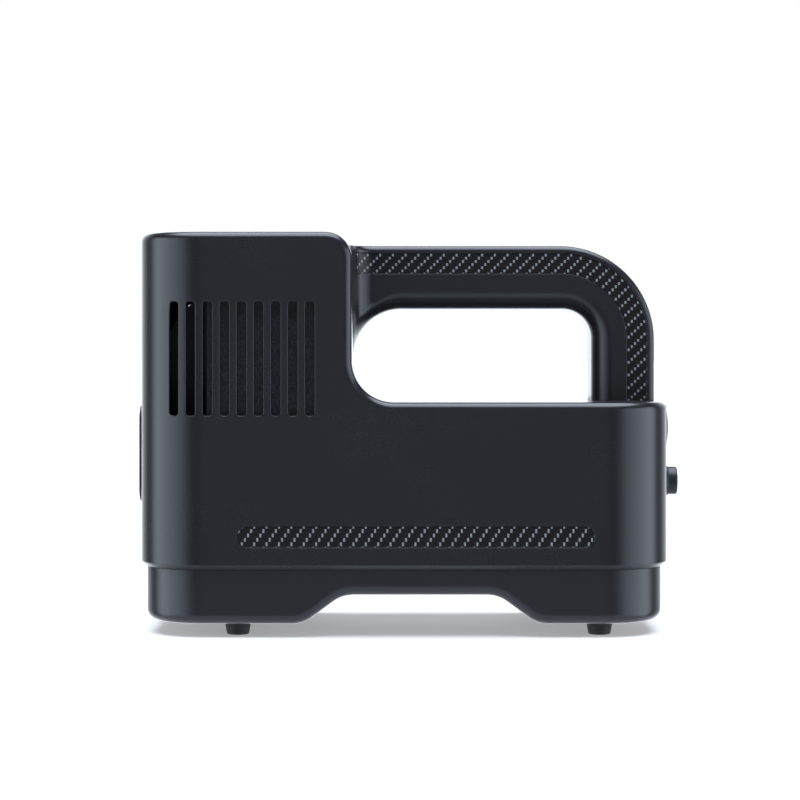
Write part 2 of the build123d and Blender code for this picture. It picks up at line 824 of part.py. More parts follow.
with BuildPart() as impeller_nut:
    with BuildSketch(blower_plane(impeller_front)):
        RegularPolygon(3.8, 6)
        Circle(shaft_radius, mode=Mode.SUBTRACT)
    extrude(amount=2.4)
finish(impeller_nut, "impeller_nut")


# ---- Motor ----

base_rear = volute_rear + motor_base_thickness
stator_front = base_rear + stator_offset - 3
rotor_front = base_rear + motor_gap
rotor_rear = rotor_front + rotor_length

with BuildPart() as motor_base:
    with BuildSketch(blower_plane(volute_rear)):
        Circle(motor_base_radius)
    extrude(amount=-motor_base_thickness)
    with BuildSketch(blower_plane(volute_rear)):
        Circle(bearing_tube_radius)
    extrude(amount=-bearing_tube)
    with BuildSketch(blower_plane(volute_rear)):
        Circle(bearing_radius)
    extrude(amount=-bearing_tube, mode=Mode.SUBTRACT)
    with BuildSketch(blower_plane(volute_rear)):
        with PolarLocations(motor_screw_circle, 3, 90):
            Circle(screw_radius + screw_gap)
    extrude(amount=-motor_base_thickness, mode=Mode.SUBTRACT)
finish(motor_base, "motor_base")

with BuildPart() as motor_screws:
    for turn in (90, 210, 330):
        x = blower_x + motor_screw_circle * cos(radians(turn))
        z = blower_height + motor_screw_circle * sin(radians(turn))
        with Locations(Location((x, volute_rear - volute_wall, z), (-90, 0, 0))):
            add(screw_form(motor_base_thickness + volute_wall))
finish(motor_screws, "motor_screws")

for name, y in (("front_bearing", volute_rear), ("rear_bearing", volute_rear + bearing_tube - bearing_width)):
    with BuildPart() as bearing:
        with BuildSketch(blower_plane(y)):
            Circle(bearing_radius)
            Circle(shaft_radius + running_gap, mode=Mode.SUBTRACT)
        extrude(amount=-bearing_width)
        with BuildSketch(blower_plane(y)):
            Circle(bearing_radius - 0.8)
            Circle(shaft_radius + 0.8, mode=Mode.SUBTRACT)
        extrude(amount=-0.3, mode=Mode.SUBTRACT)
    finish(bearing, name)

with BuildPart() as stator_core:
    with BuildSketch(blower_plane(stator_front)):
        Circle(stator_radius)
        Circle(stator_radius - 1.4, mode=Mode.SUBTRACT)
        with PolarLocations(stator_radius, tooth_count, 180 / tooth_count):
            Rectangle(5, 1.4, mode=Mode.SUBTRACT)
        Circle(bearing_tube_radius + 2)
        with PolarLocations((stator_radius + bearing_tube_radius) / 2, tooth_count):
            Rectangle(stator_radius - bearing_tube_radius - 1, tooth_width)
        Circle(bearing_tube_radius, mode=Mode.SUBTRACT)
    extrude(amount=-stator_length)
finish(stator_core, "stator_core")

# one coil round each tooth
coil_inner = bearing_tube_radius + 2.6
coil_outer = stator_radius - 1.8
coil_middle = (coil_inner + coil_outer) / 2
with BuildPart() as stator_windings:
    with BuildSketch(blower_plane(stator_front - 0.9)):
        with PolarLocations(coil_middle, tooth_count):
            Rectangle(coil_outer - coil_inner, tooth_width + 1.6)
    extrude(amount=-stator_length - 1.8)
    with BuildSketch(blower_plane(stator_front - 0.1)):
        with PolarLocations(coil_middle, tooth_count):
            Rectangle(coil_outer - coil_inner + 1, tooth_width + 0.2)
    extrude(amount=-stator_length - 0.2, mode=Mode.SUBTRACT)
finish(stator_windings, "stator_windings")

with BuildPart() as rotor_bell:
    with BuildSketch(blower_plane(rotor_front)):
        Circle(rotor_radius)
    extrude(amount=-rotor_length)
    with BuildSketch(blower_plane(rotor_front)):
        Circle(rotor_radius - rotor_wall)
    extrude(amount=rotor_wall - rotor_length, mode=Mode.SUBTRACT)
    with BuildSketch(blower_plane(rotor_rear)):
        Circle(shaft_radius + 2.5)
    extrude(amount=rotor_wall + 1.5)
    with BuildSketch(blower_plane(rotor_rear)):
        Circle(shaft_radius)
        with PolarLocations(rotor_radius * 0.6, 6):
            Circle(3)
    extrude(amount=rotor_wall + 1.5, mode=Mode.SUBTRACT)
    fillet(rotor_bell.edges().filter_by(GeomType.CIRCLE).group_by(Axis.Y)[-1].sort_by(SortBy.LENGTH)[-1], 0.8)
finish(rotor_bell, "rotor_bell")

with BuildPart() as rotor_magnets:
    with BuildSketch(blower_plane(stator_front)):
        Circle(rotor_radius - rotor_wall)
        Circle(rotor_radius - rotor_wall - magnet_thickness, mode=Mode.SUBTRACT)
        with PolarLocations(rotor_radius, magnet_count):
            Rectangle(8, 0.6, mode=Mode.SUBTRACT)
    extrude(amount=-stator_length)
finish(rotor_magnets, "rotor_magnets")

shaft_front = impeller_front - 2.4
with BuildPart() as motor_shaft:
    with BuildSketch(blower_plane(shaft_front)):
        Circle(shaft_radius)
    extrude(amount=shaft_front - rotor_rear)
    chamfer(motor_shaft.edges().filter_by(GeomType.CIRCLE), 0.3)
finish(motor_shaft, "motor_shaft")


# ---- Battery ----

cell_pitch = 2 * (cell_radius + cell_gap) + cell_web
pack_left = case_left + pack_along
pack_length = cell_length + 2 * (tab_thickness + 0.1) + 2 * pack_end
pack_right = pack_left + pack_length
pack_bottom = base_bottom + arch_rise + base_wall
cell_height = pack_bottom + pack_wall + cell_gap + cell_radius
pack_top = cell_height + cell_radius + cell_gap + pack_wall
pack_width = (cell_count - 1) * cell_pitch + 2 * (cell_radius + cell_gap + pack_wall)
cell_left = pack_left + pack_end + tab_thickness + 0.1
cell_rows = [((row - (cell_count - 1) / 2) * cell_pitch, cell_height) for row in range(cell_count)]

for number, (y, z) in enumerate(cell_rows, 1):
    with BuildPart() as cell:
        with BuildSketch(end_plane(cell_left, 0)):
            with Locations((y, z)):
                Circle(cell_radius)
        extrude(amount=cell_length)
        fillet(cell.edges().filter_by(GeomType.CIRCLE), 0.6)
        # groove below the positive cap
        with BuildSketch(end_plane(cell_left + cell_length - 2.5, 0)):
            with Locations((y, z)):
                Circle(cell_radius + 1)
                Circle(cell_radius - 0.5, mode=Mode.SUBTRACT)
        extrude(amount=0.8, mode=Mode.SUBTRACT)
    finish(cell, f"battery_cell_{number}")

for name, bottom, top in (("pack_lower", pack_bottom, cell_height), ("pack_upper", cell_height, pack_top)):
    with BuildPart() as pack_half:
        with BuildSketch(Plane.XY.offset(bottom)):
            with Locations((pack_left + pack_length / 2, 0)):
                RectangleRounded(pack_length, pack_width, 2)
        extrude(amount=top - bottom)
        if name == "pack_upper":
            with BuildSketch(Plane.XY.offset(pack_top)):
                with Locations((pack_left + pack_length / 2, 0)):
                    with GridLocations(board_length - 7, board_width - 7, 2, 2):
                        Circle(2.6)
            extrude(amount=board_standoff)
            with BuildSketch(Plane.XY.offset(pack_top + 1)):
                with Locations((pack_left + pack_length / 2, 0)):
                    with GridLocations(board_length - 7, board_width - 7, 2, 2):
                        Circle(screw_radius + screw_gap)
            extrude(amount=board_standoff, mode=Mode.SUBTRACT)
        with BuildSketch(end_plane(pack_left + pack_end, 0)):
            with Locations(*cell_rows):
                Circle(cell_radius + cell_gap)
            with Locations((0, cell_height)):
                Rectangle((cell_count - 1) * cell_pitch + 8, 7)
        extrude(amount=pack_length - 2 * pack_end, mode=Mode.SUBTRACT)
    finish(pack_half, name)

with BuildPart() as cell_tabs:
    for x in (cell_left - tab_thickness, cell_left + cell_length):
        with BuildSketch(end_plane(x, cell_height)):
            RectangleRounded((cell_count - 1) * cell_pitch + 7, 6, 1)
        extrude(amount=tab_thickness)
finish(cell_tabs, "cell_tabs")

guard_board_left = pack_right + 0.4
with BuildPart() as protection_board:
    with BuildSketch(end_plane(guard_board_left, cell_height)):
        RectangleRounded(2 * base_screw_reach - 2 * head_boss_radius - 4, 2 * cell_radius, 1)
    extrude(amount=1.0)
finish(protection_board, "protection_board")


# ---- Control board ----

board_x = pack_left + pack_length / 2
board_bottom = pack_top + board_standoff
board_top = board_bottom + board_thickness
board_left = board_x - board_length / 2
board_right = board_x + board_length / 2


def block(corner, size, radius=0.4):
    """A moulded part on the board: lowest corner and size."""
    with BuildPart() as form:
        with Locations(corner):
            Box(*size, align=(Align.MIN, Align.MIN, Align.MIN))
        fillet(form.edges().filter_by(Axis.Z), radius)
    return form.part


with BuildPart() as control_board:
    with BuildSketch(Plane.XY.offset(board_bottom)):
        with Locations((board_x, 0)):
            RectangleRounded(board_length, board_width, 2)
            with GridLocations(board_length - 7, board_width - 7, 2, 2):
                Circle(screw_radius + 0.1, mode=Mode.SUBTRACT)
    extrude(amount=board_thickness)
finish(control_board, "control_board")

with BuildPart() as board_screws:
    with Locations((board_x, 0, board_top)):
        with GridLocations(board_length - 7, board_width - 7, 2, 2):
            with Locations(Location((0, 0, 0), (180, 0, 0))):
                add(screw_form(board_screw_length))
finish(board_screws, "board_screws")

with BuildPart() as board_chips:
    for column in range(3):
        for row in (-1, 1):
            add(block((board_x - 13 + 9 * column, row * 5 - 3, board_top), (6.5, 6, 2.2)))
    add(block((board_x - 3, -17, board_top), (7, 7, 1.0)))
finish(board_chips, "board_chips")

with BuildPart() as heat_sink:
    with Locations((board_x - 1, 0, board_top + 2.2)):
        Box(26, 18, 2, align=CENTRE + (Align.MIN,))
        with GridLocations(0, 3.2, 1, 6):
            Box(26, 1.2, 7, align=CENTRE + (Align.MIN,))
finish(heat_sink, "heat_sink")

with BuildPart() as board_capacitors:
    with BuildSketch(Plane.XY.offset(board_top)):
        with Locations((board_x + 17, -9.5), (board_x + 17, 0.5)):
            Circle(4)
    extrude(amount=11)
    fillet(board_capacitors.edges().group_by(Axis.Z)[-1], 0.5)
finish(board_capacitors, "board_capacitors")

# three sockets: motor on the left edge, battery and switch on the right edge
motor_lead_y = volute_rear + motor_base_thickness / 2
battery_plug_y = 11.0
switch_plug_y = -9.0
plug_size = (6.0, 8.0, 8.0)
with BuildPart() as board_sockets:
    add(block((board_left, motor_lead_y + lead_radius - plug_size[1], board_top), plug_size))
    for y in (battery_plug_y, switch_plug_y):
        add(block((board_right - plug_size[0], y - plug_size[1] / 2, board_top), plug_size))
finish(board_sockets, "board_sockets")


# ---- Power button ----

cap_face = case_right + button_proud
cap_back = cap_face - button_body
barrel_end = case_right - barrel_length

with BuildPart() as button_bezel:
    with BuildSketch(Plane.XZ) as outline:
        with BuildLine():
            Polyline((barrel_end, button_height + button_radius + running_gap),
                     (barrel_end, button_height + barrel_radius), (case_right, button_height + barrel_radius),
                     (case_right, button_height + bezel_base_radius),
                     (case_right + bezel_proud, button_height + bezel_tip_radius),
                     (case_right + bezel_proud, button_height + button_radius + running_gap), close=True)
        make_face()
    revolve(axis=Axis((0, 0, button_height), (1, 0, 0)))
finish(button_bezel, "button_bezel")

with BuildPart() as button_cap:
    with BuildSketch(end_plane(cap_back, button_height)):
        Circle(button_radius)
    extrude(amount=button_body)
    fillet(button_cap.edges().filter_by(GeomType.CIRCLE).sort_by(Axis.X)[-1], 0.5)
    # hollow behind, for the spring
    with BuildSketch(end_plane(cap_back, button_height)):
        Circle(spring_radius + spring_wire + 0.3)
        Circle(1.2, mode=Mode.SUBTRACT)
    extrude(amount=3, mode=Mode.SUBTRACT)
finish(button_cap, "button_cap")

with BuildPart() as switch_body:
    with BuildSketch(end_plane(barrel_end, button_height)):
        Circle(barrel_radius)
    extrude(amount=-switch_length)
    with BuildSketch(end_plane(barrel_end, button_height)):
        Circle(1.5)
    extrude(amount=cap_back - button_travel - 0.2 - barrel_end)
finish(switch_body, "switch_body")

spring_length = cap_back - button_travel - 0.3 - barrel_end
with BuildPart() as button_spring:
    with BuildLine() as coil:
        Helix(1.9, spring_length - 2 * spring_wire, spring_radius,
              center=(barrel_end + spring_wire, 0, button_height), direction=(1, 0, 0))
    with BuildSketch(Plane(coil.line ^ 0)):
        Circle(spring_wire)
    sweep(is_frenet=True)
finish(button_spring, "button_spring")


# ---- Charging socket ----

cover_back = case_right + socket_proud - socket_cover
hinge_x = case_right + socket_ring + 0.1
hinge_z = socket_height + socket_radius + hinge_radius + 0.15
knuckle_half = 1.5
ear_width = 1.2
ear_gap = 0.1
plug_width = 9.0
plug_height = 3.2
shell_thickness = 0.35

with BuildPart() as socket_bezel:
    with BuildSketch(end_plane(case_right - socket_barrel, socket_height)):
        Circle(socket_barrel_radius)
    extrude(amount=socket_barrel)
    with BuildSketch(end_plane(case_right, socket_height)):
        Circle(socket_radius)
    extrude(amount=socket_ring)
    # two ears that hold the cover's pin
    for side in (-1, 1):
        with BuildSketch(upright(side * (knuckle_half + ear_gap + ear_width / 2) + ear_width / 2)):
            with Locations((hinge_x, hinge_z)):
                Circle(hinge_radius)
            with Locations((case_right, hinge_z)):
                Rectangle(socket_ring, 3, align=(Align.MIN, Align.MAX))
        extrude(amount=ear_width)
    with BuildSketch(end_plane(case_right - socket_barrel, socket_height)):
        SlotOverall(plug_width + 0.2, plug_height + 0.2)
    extrude(amount=socket_barrel + socket_ring, mode=Mode.SUBTRACT)
    with BuildSketch(upright(knuckle_half + ear_width + 1)):
        with Locations((hinge_x, hinge_z)):
            Circle(hinge_pin_radius)
    extrude(amount=2 * (knuckle_half + ear_width + 1), mode=Mode.SUBTRACT)
finish(socket_bezel, "socket_bezel")

with BuildPart() as socket_shell:
    with BuildSketch(end_plane(case_right - socket_barrel - 2, socket_height)):
        SlotOverall(plug_width, plug_height)
        SlotOverall(plug_width - 2 * shell_thickness, plug_height - 2 * shell_thickness, mode=Mode.SUBTRACT)
    extrude(amount=socket_barrel + 2.5)
finish(socket_shell, "socket_shell")

with BuildPart() as socket_tongue:
    with BuildSketch(end_plane(case_right - socket_barrel - 2, socket_height)):
        SlotOverall(plug_width - 2 * shell_thickness, plug_height - 2 * shell_thickness)
    extrude(amount=2)
    with BuildSketch(end_plane(case_right - socket_barrel, socket_height)):
        Rectangle(6.7, 0.7)
    extrude(amount=socket_barrel - 0.8)
finish(socket_tongue, "socket_tongue")

with BuildPart() as socket_cover_flap:
    with BuildSketch(end_plane(cover_back, socket_height)):
        Circle(socket_radius)
    extrude(amount=socket_cover)
    fillet(socket_cover_flap.edges().filter_by(GeomType.CIRCLE).sort_by(Axis.X)[-1], 0.4)
    with BuildSketch(upright(knuckle_half)):
        with Locations((hinge_x, hinge_z)):
            Circle(hinge_radius)
        with Locations((cover_back, hinge_z)):
            Rectangle(socket_cover - 0.1, 2.4, align=(Align.MIN, Align.MAX))
    extrude(amount=2 * knuckle_half)
    with BuildSketch(upright(knuckle_half)):
        with Locations((hinge_x, hinge_z)):
            Circle(hinge_pin_radius + running_gap)
    extrude(amount=2 * knuckle_half, mode=Mode.SUBTRACT)
    # lift tab at the bottom
    with BuildSketch(end_plane(cover_back, socket_height - socket_radius)):
        RectangleRounded(4, 1.6, 0.6)
    extrude(amount=socket_cover)
finish(socket_cover_flap, "socket_cover")

with BuildPart() as socket_pin:
    with BuildSketch(upright(knuckle_half + ear_gap + ear_width)):
        with Locations((hinge_x, hinge_z)):
            Circle(hinge_pin_radius)
    extrude(amount=2 * (knuckle_half + ear_gap + ear_width))
finish(socket_pin, "socket_pin")

socket_nut_radius = deck_height - case_wall - nut_clear - socket_height
for name, height, bore, radius in (
    ("button_nut", button_height, barrel_radius, nut_radius),
    ("socket_nut", socket_height, socket_barrel_radius, socket_nut_radius),
):
    with BuildPart() as nut:
        with BuildSketch(end_plane(case_right - case_wall - nut_thickness, height)):
            Circle(radius)
            with PolarLocations(radius, nut_notches):
                Circle(nut_notch_radius, mode=Mode.SUBTRACT)
            Circle(bore, mode=Mode.SUBTRACT)
        extrude(amount=nut_thickness)
    finish(nut, name)


# ---- Leads ----

def leads(name, routes, bend):
    """Round wires along their routes, each corner bent to the same radius."""
    with BuildPart() as wires:
        for route in routes:
            with BuildLine() as path:
                if len(route) > 2:
                    FilletPolyline(*route, radius=bend)
                else:
                    Line(*route)
            with BuildSketch(Plane(origin=path.line @ 0, z_dir=path.line % 0)):
                Circle(lead_radius)
            sweep(path=path.line)
    finish(wires, name)


leads("motor_leads", [
    [(blower_x + step * lead_pitch, motor_lead_y, blower_height - motor_base_radius),
     (blower_x + step * lead_pitch, motor_lead_y, board_top + 3.2 + step * lead_pitch),
     (board_left, motor_lead_y, board_top + 3.2 + step * lead_pitch)]
    for step in (-1, 0, 1)
], 7)
leads("battery_leads", [
    [(guard_board_left + 0.5, battery_plug_y + step * lead_pitch, cell_height + cell_radius),
     (guard_board_left + 0.5, battery_plug_y + step * lead_pitch, board_top + 4),
     (board_right, battery_plug_y + step * lead_pitch, board_top + 4)]
    for step in (-0.5, 0.5)
], 3)
leads("switch_leads", [
    [(barrel_end - switch_length, -2, button_height + step * lead_pitch),
     (barrel_end - switch_length - 8, -2, button_height + step * lead_pitch),
     (board_right + 7, switch_plug_y, board_top + 4 + step * lead_pitch),
     (board_right, switch_plug_y, board_top + 4 + step * lead_pitch)]
    for step in (-0.5, 0.5)
], 4)
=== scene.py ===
import math

import bpy
import bmesh
import numpy as np
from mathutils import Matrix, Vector
from mathutils.geometry import delaunay_2d_cdt


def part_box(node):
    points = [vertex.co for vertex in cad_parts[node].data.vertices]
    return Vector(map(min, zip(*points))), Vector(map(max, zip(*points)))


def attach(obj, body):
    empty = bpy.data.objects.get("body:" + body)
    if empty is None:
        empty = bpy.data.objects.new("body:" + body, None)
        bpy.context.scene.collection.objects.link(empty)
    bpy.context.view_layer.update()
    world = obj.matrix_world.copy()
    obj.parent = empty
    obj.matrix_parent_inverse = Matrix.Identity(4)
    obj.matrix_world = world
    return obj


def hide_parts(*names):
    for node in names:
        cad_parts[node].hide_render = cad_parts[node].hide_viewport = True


# Cordless electric air mattress pump, in metres. The front faces -Y.
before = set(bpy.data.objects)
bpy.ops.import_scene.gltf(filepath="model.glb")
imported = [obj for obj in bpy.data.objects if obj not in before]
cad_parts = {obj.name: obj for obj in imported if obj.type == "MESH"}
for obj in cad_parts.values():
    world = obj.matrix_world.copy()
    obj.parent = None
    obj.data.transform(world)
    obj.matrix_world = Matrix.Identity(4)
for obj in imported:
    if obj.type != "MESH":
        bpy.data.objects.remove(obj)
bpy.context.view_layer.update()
mm = 0.001


# Camera: level, square to the front, 850 mm from the nearest face.

def corner(node, end):
    return np.array(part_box(node)[end]) / mm      # lowest (0) or highest (1) corner, in mm


caseLow, caseHigh = corner("front_shell", 0), corner("front_shell", 1)
caseMiddle = (caseLow[0] + caseHigh[0]) / 2

view = dict(distance=850, side=-1.43, height=104, lens=111.35, sensor=36, drop=-0.0799)
cameraData = bpy.data.cameras.new("camera")
cameraData.lens, cameraData.sensor_width = view["lens"], view["sensor"]
cameraData.shift_y = view["drop"]
cameraData.clip_start, cameraData.clip_end = 0.05, 60
camera = bpy.data.objects.new("camera", cameraData)
camera.location = Vector((caseMiddle + view["side"], caseLow[1] - view["distance"], view["height"])) * mm
camera.rotation_euler = (math.radians(90), 0, 0)
bpy.context.scene.collection.objects.link(camera)
bpy.context.scene.camera = camera
print("camera ready")


# Shader maths: a Wire carries a value, colour or vector, and the operators add Math nodes.

def operator(operation, swapped=False):
    # Method of a Wire that adds one Math node.
    def apply(wire, other):
        return wire.maths(operation, other, wire) if swapped else wire.maths(operation, wire, other)
    return apply


class Wire:
    def __init__(self, tree, socket):
        self.tree, self.socket = tree, socket

    def maths(self, operation, *values):
        return self.tree.node("Math", {"operation": operation}, dict(enumerate(values)))

    def alone(self, operation):
        return self.maths(operation, self)

    __add__, __radd__ = operator("ADD"), operator("ADD", True)
    __sub__, __rsub__ = operator("SUBTRACT"), operator("SUBTRACT", True)
    __mul__, __rmul__ = operator("MULTIPLY"), operator("MULTIPLY", True)
    __truediv__, __pow__ = operator("DIVIDE"), operator("POWER")
    __gt__, __lt__ = operator("GREATER_THAN"), operator("LESS_THAN")


class Finish:
    # A material under way: node() adds one node and gives back one of its outputs.

    def __init__(self, tree):
        self.tree = tree

    def node(self, kind, settings=None, inputs=None, output=0):
        made = self.tree.nodes.new("ShaderNode" + kind)
        for key, value in (settings or {}).items():
            if key == "stops":
                ramp = made.color_ramp
                while len(ramp.elements) < len(value):
                    ramp.elements.new(0.5)
                for element, (place, colour) in zip(ramp.elements, value):
                    element.position = place
                    element.color = (*colour, 1) if hasattr(colour, "__len__") else (colour,) * 3 + (1,)
            else:
                setattr(made, key, value)
        for key, value in (inputs or {}).items():
            if isinstance(value, Wire):
                self.tree.links.new(value.socket, made.inputs[key])
            elif hasattr(value, "__len__") and made.inputs[key].type == "RGBA" and len(value) == 3:
                made.inputs[key].default_value = (*value, 1)
            else:
                made.inputs[key].default_value = value
        return Wire(self, made.outputs[output])

    def blend(self, factor, low, high):
        # A colour between two colours.
        return self.node("Mix", {"data_type": "RGBA"}, {0: factor, 6: low, 7: high}, 2)

    def times(self, first, second):
        return self.node("Mix", {"data_type": "RGBA", "blend_type": "MULTIPLY"},
                         {0: 1.0, 6: first, 7: second}, 2)

    def place(self, name="Object"):
        return self.node("TexCoord", output=name)

    def scaled(self, vector, size):
        return self.node("Mapping", None, {"Vector": vector, "Scale": size})

    def noise(self, vector, scale, detail=3, rough=0.5):
        return self.node("TexNoise", None, {"Vector": vector, "Scale": scale, "Detail": detail,
                                            "Roughness": rough})

    def parts(self, vector):
        made = self.node("SeparateXYZ", None, {0: vector})
        return [Wire(self, made.socket.node.outputs[n]) for n in range(3)]

    def ramp(self, value, stops):
        return self.node("ValToRGB", {"stops": stops}, {0: value})


def newMaterial(name, build, **shader):
    # build(finish) gives a dictionary of linked sockets; shader holds the constant ones.
    material = bpy.data.materials.new(name)
    material.use_nodes = True
    tree = material.node_tree
    surface = tree.nodes["Principled BSDF"]
    for key, value in shader.items():
        socket = surface.inputs[key.replace("_", " ")]
        socket.default_value = (*value, 1) if hasattr(value, "__len__") and len(value) == 3 else value
    for key, wire in build(Finish(tree)).items():
        tree.links.new(wire.socket, surface.inputs[key])
    return material


# Studio: a white sheet behind, a darker room in front, and tall soft boxes at the sides and overhead
# that leave a dark gap next to the sheet. Directions are degrees from the back, towards either side.

studio = dict(around=[(0, 2.8), (14, 2.8), (30, 1.3), (42, 0.9), (50, 0.45), (58, 0.08), (70, 0.08),
                      (79, 2.6), (88, 3.5), (126, 2.1), (138, 1.5), (150, 0.35), (156, 0.06), (166, 0.06),
                      (174, 0.38)],
              gap=0.07, top=7.0, under=1.1, tint=(0.90, 0.955, 1.04), sheetTop=0.38, topFrom=0.80,
              underFrom=0.45)


def makeStudio(settings):
    world = bpy.data.worlds.new("studio")
    bpy.context.scene.world = world
    world.use_nodes = True
    finish = Finish(world.node_tree)
    background = world.node_tree.nodes["Background"]
    x, y, z = finish.parts(finish.place("Generated"))
    fromBack = x.maths("ARCTAN2", x.alone("ABSOLUTE"), y) * (1 / math.pi)
    s = settings
    around = finish.ramp(fromBack, [(angle / 180, value / s["top"]) for angle, value in s["around"]])
    above = finish.ramp(z, [(s["sheetTop"], 0.0), (s["sheetTop"] + 0.1, 1.0)])
    overhead = finish.ramp(z, [(s["topFrom"], 0.0), (s["topFrom"] + 0.07, 1.0)])
    low = finish.ramp(z * -1, [(s["underFrom"], 0.0), (s["underFrom"] + 0.1, 1.0)])
    lit = finish.blend(overhead, finish.blend(above, around, (s["gap"] / s["top"],) * 3), (1.0,) * 3)
    tinted = finish.times(finish.blend(low, lit, (s["under"] / s["top"],) * 3), s["tint"])
    scaled = finish.node("VectorMath", {"operation": "SCALE"}, {0: tinted, "Scale": s["top"]})
    seen = finish.node("LightPath", output=0)
    world.node_tree.links.new(finish.blend(seen, scaled, (1.0,) * 3).socket, background.inputs["Color"])


makeStudio(studio)
bpy.context.scene.view_settings.view_transform = "Standard"

floorMesh = bpy.data.meshes.new("floor")
floorMesh.from_pydata([(-9, -9, 0), (9, -9, 0), (9, 9, 0), (-9, 9, 0)], [], [(0, 1, 2, 3)])
floor = bpy.data.objects.new("floor", floorMesh)
bpy.context.scene.collection.objects.link(floor)
floorMesh.materials.append(newMaterial(
    "floor_sheet", lambda f: {"Base Color": f.blend(f.noise(f.place(), 3.0), (0.58,) * 3, (0.60,) * 3)},
    Roughness=0.8, Emission_Color=(1, 1, 1), Emission_Strength=0.3))
floor.visible_glossy = False            # the plastic mirrors the studio, not the sheet it stands on
print("studio ready")


# Mesh helpers. Points are in mm until a piece is welded.

class Skin:
    # Patches of surface that are welded into one piece.

    def __init__(self):
        self.points, self.faces, self.count = [], [], 0

    def add(self, points, faces):
        points = np.asarray(points, float).reshape(-1, 3)
        self.faces += (np.asarray(faces) + self.count).tolist()
        self.points.append(points)
        self.count += len(points)
        return self

    def grid(self, points, loop=False):
        # Quads over an array of rows by columns; loop joins the last column to the first.
        rows, columns = points.shape[:2]
        at = np.arange(rows * columns).reshape(rows, columns)
        if loop:
            at = np.concatenate([at, at[:, :1]], 1)
        quads = np.stack([at[:-1, :-1], at[:-1, 1:], at[1:, 1:], at[1:, :-1]], -1)
        return self.add(points, quads.reshape(-1, 4))

    def fan(self, loop):
        # Closes a loop with a fan of triangles round its middle.
        n = len(loop)
        ring = np.arange(n)
        faces = np.stack([ring, np.roll(ring, -1), np.full(n, n)], -1)
        return self.add(np.vstack([loop, loop.mean(0)]), faces)

    def mirrored(self):
        # Adds the same patches on the other side of the middle plane.
        faces = [[index + self.count for index in face] for face in self.faces]
        self.points.append(np.vstack(self.points) * (1, -1, 1))
        self.faces += faces
        self.count *= 2
        return self

    def piece(self, name, slot, body, node, sharp=34, weld=0.002, flip=False, material=None):
        # One closed mesh in metres that takes the node's place; flip turns it into the rear half's.
        points = np.vstack(self.points) * mm
        if flip:
            points[:, 1] *= -1
        mesh = bpy.data.meshes.new(name)
        mesh.from_pydata(points.tolist(), [], self.faces)
        made = bmesh.new()
        made.from_mesh(mesh)
        bmesh.ops.remove_doubles(made, verts=made.verts, dist=weld * mm)
        bmesh.ops.dissolve_degenerate(made, edges=made.edges, dist=weld * mm / 4)
        bmesh.ops.recalc_face_normals(made, faces=made.faces)
        made.to_mesh(mesh)
        openEdges = sum(edge.is_boundary for edge in made.edges)
        made.free()
        mesh.shade_smooth()
        mesh.set_sharp_from_angle(angle=math.radians(sharp))
        thing = bpy.data.objects.new(name, mesh)
        bpy.context.scene.collection.objects.link(thing)
        weighted = thing.modifiers.new("even shading", "WEIGHTED_NORMAL")
        weighted.keep_sharp = True
        mesh.materials.append(material or finishes[slot])
        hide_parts(node)
        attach(thing, body)
        print(name, len(mesh.polygons), "faces", f"{openEdges} open edges" if openEdges else "closed")
        return thing


def insideLoop(points, loop):
    # True where a point is inside a loop: its level line crosses the loop an odd number of times.
    x, y = points[:, :1], points[:, 1:]
    x0, y0 = loop.T
    x1, y1 = np.roll(loop, -1, 0).T
    with np.errstate(divide="ignore", invalid="ignore"):
        crossed = ((y0 > y) != (y1 > y)) & (x < (x1 - x0) * (y - y0) / (y1 - y0) + x0)
    return crossed.sum(1) % 2 == 1


def fillRegion(outline, holes=(), steps=((), ()), clear=0.45):
    # Triangles over a flat region. Points of a lattice, given by its steps, are used where they are
    # inside the outline, outside the holes and clear of both.
    loops = [outline, *holes]
    edge = np.vstack(loops)
    lattice = np.stack(np.meshgrid(*steps), -1).reshape(-1, 2)
    if len(lattice):
        keep = insideLoop(lattice, outline)
        for hole in holes:
            keep &= ~insideLoop(lattice, hole)
        lattice = lattice[keep]
        gap = np.full(len(lattice), np.inf)
        for loop in loops:
            a, b = loop, np.roll(loop, -1, 0)
            run, reach = b - a, lattice[:, None] - a
            along = np.clip((reach * run).sum(-1) / np.maximum((run**2).sum(-1), 1e-12), 0, 1)
            gap = np.minimum(gap, np.linalg.norm(reach - along[..., None] * run, axis=-1).min(1))
        lattice = lattice[gap > clear]
    joins, start = [], 0
    for loop in loops:
        ring = np.arange(len(loop)) + start
        joins += np.stack([ring, np.roll(ring, -1)], -1).tolist()
        start += len(loop)
    found, _, faces, *_ = delaunay_2d_cdt([Vector(p) for p in np.vstack([edge, lattice])], joins, [], 0, 1e-6)
    found, faces = np.array([tuple(p) for p in found]), np.array(faces)
    middle = found[faces].mean(1)
    keep = insideLoop(middle, outline)
    for hole in holes:
        keep &= ~insideLoop(middle, hole)
    return found, faces[keep]


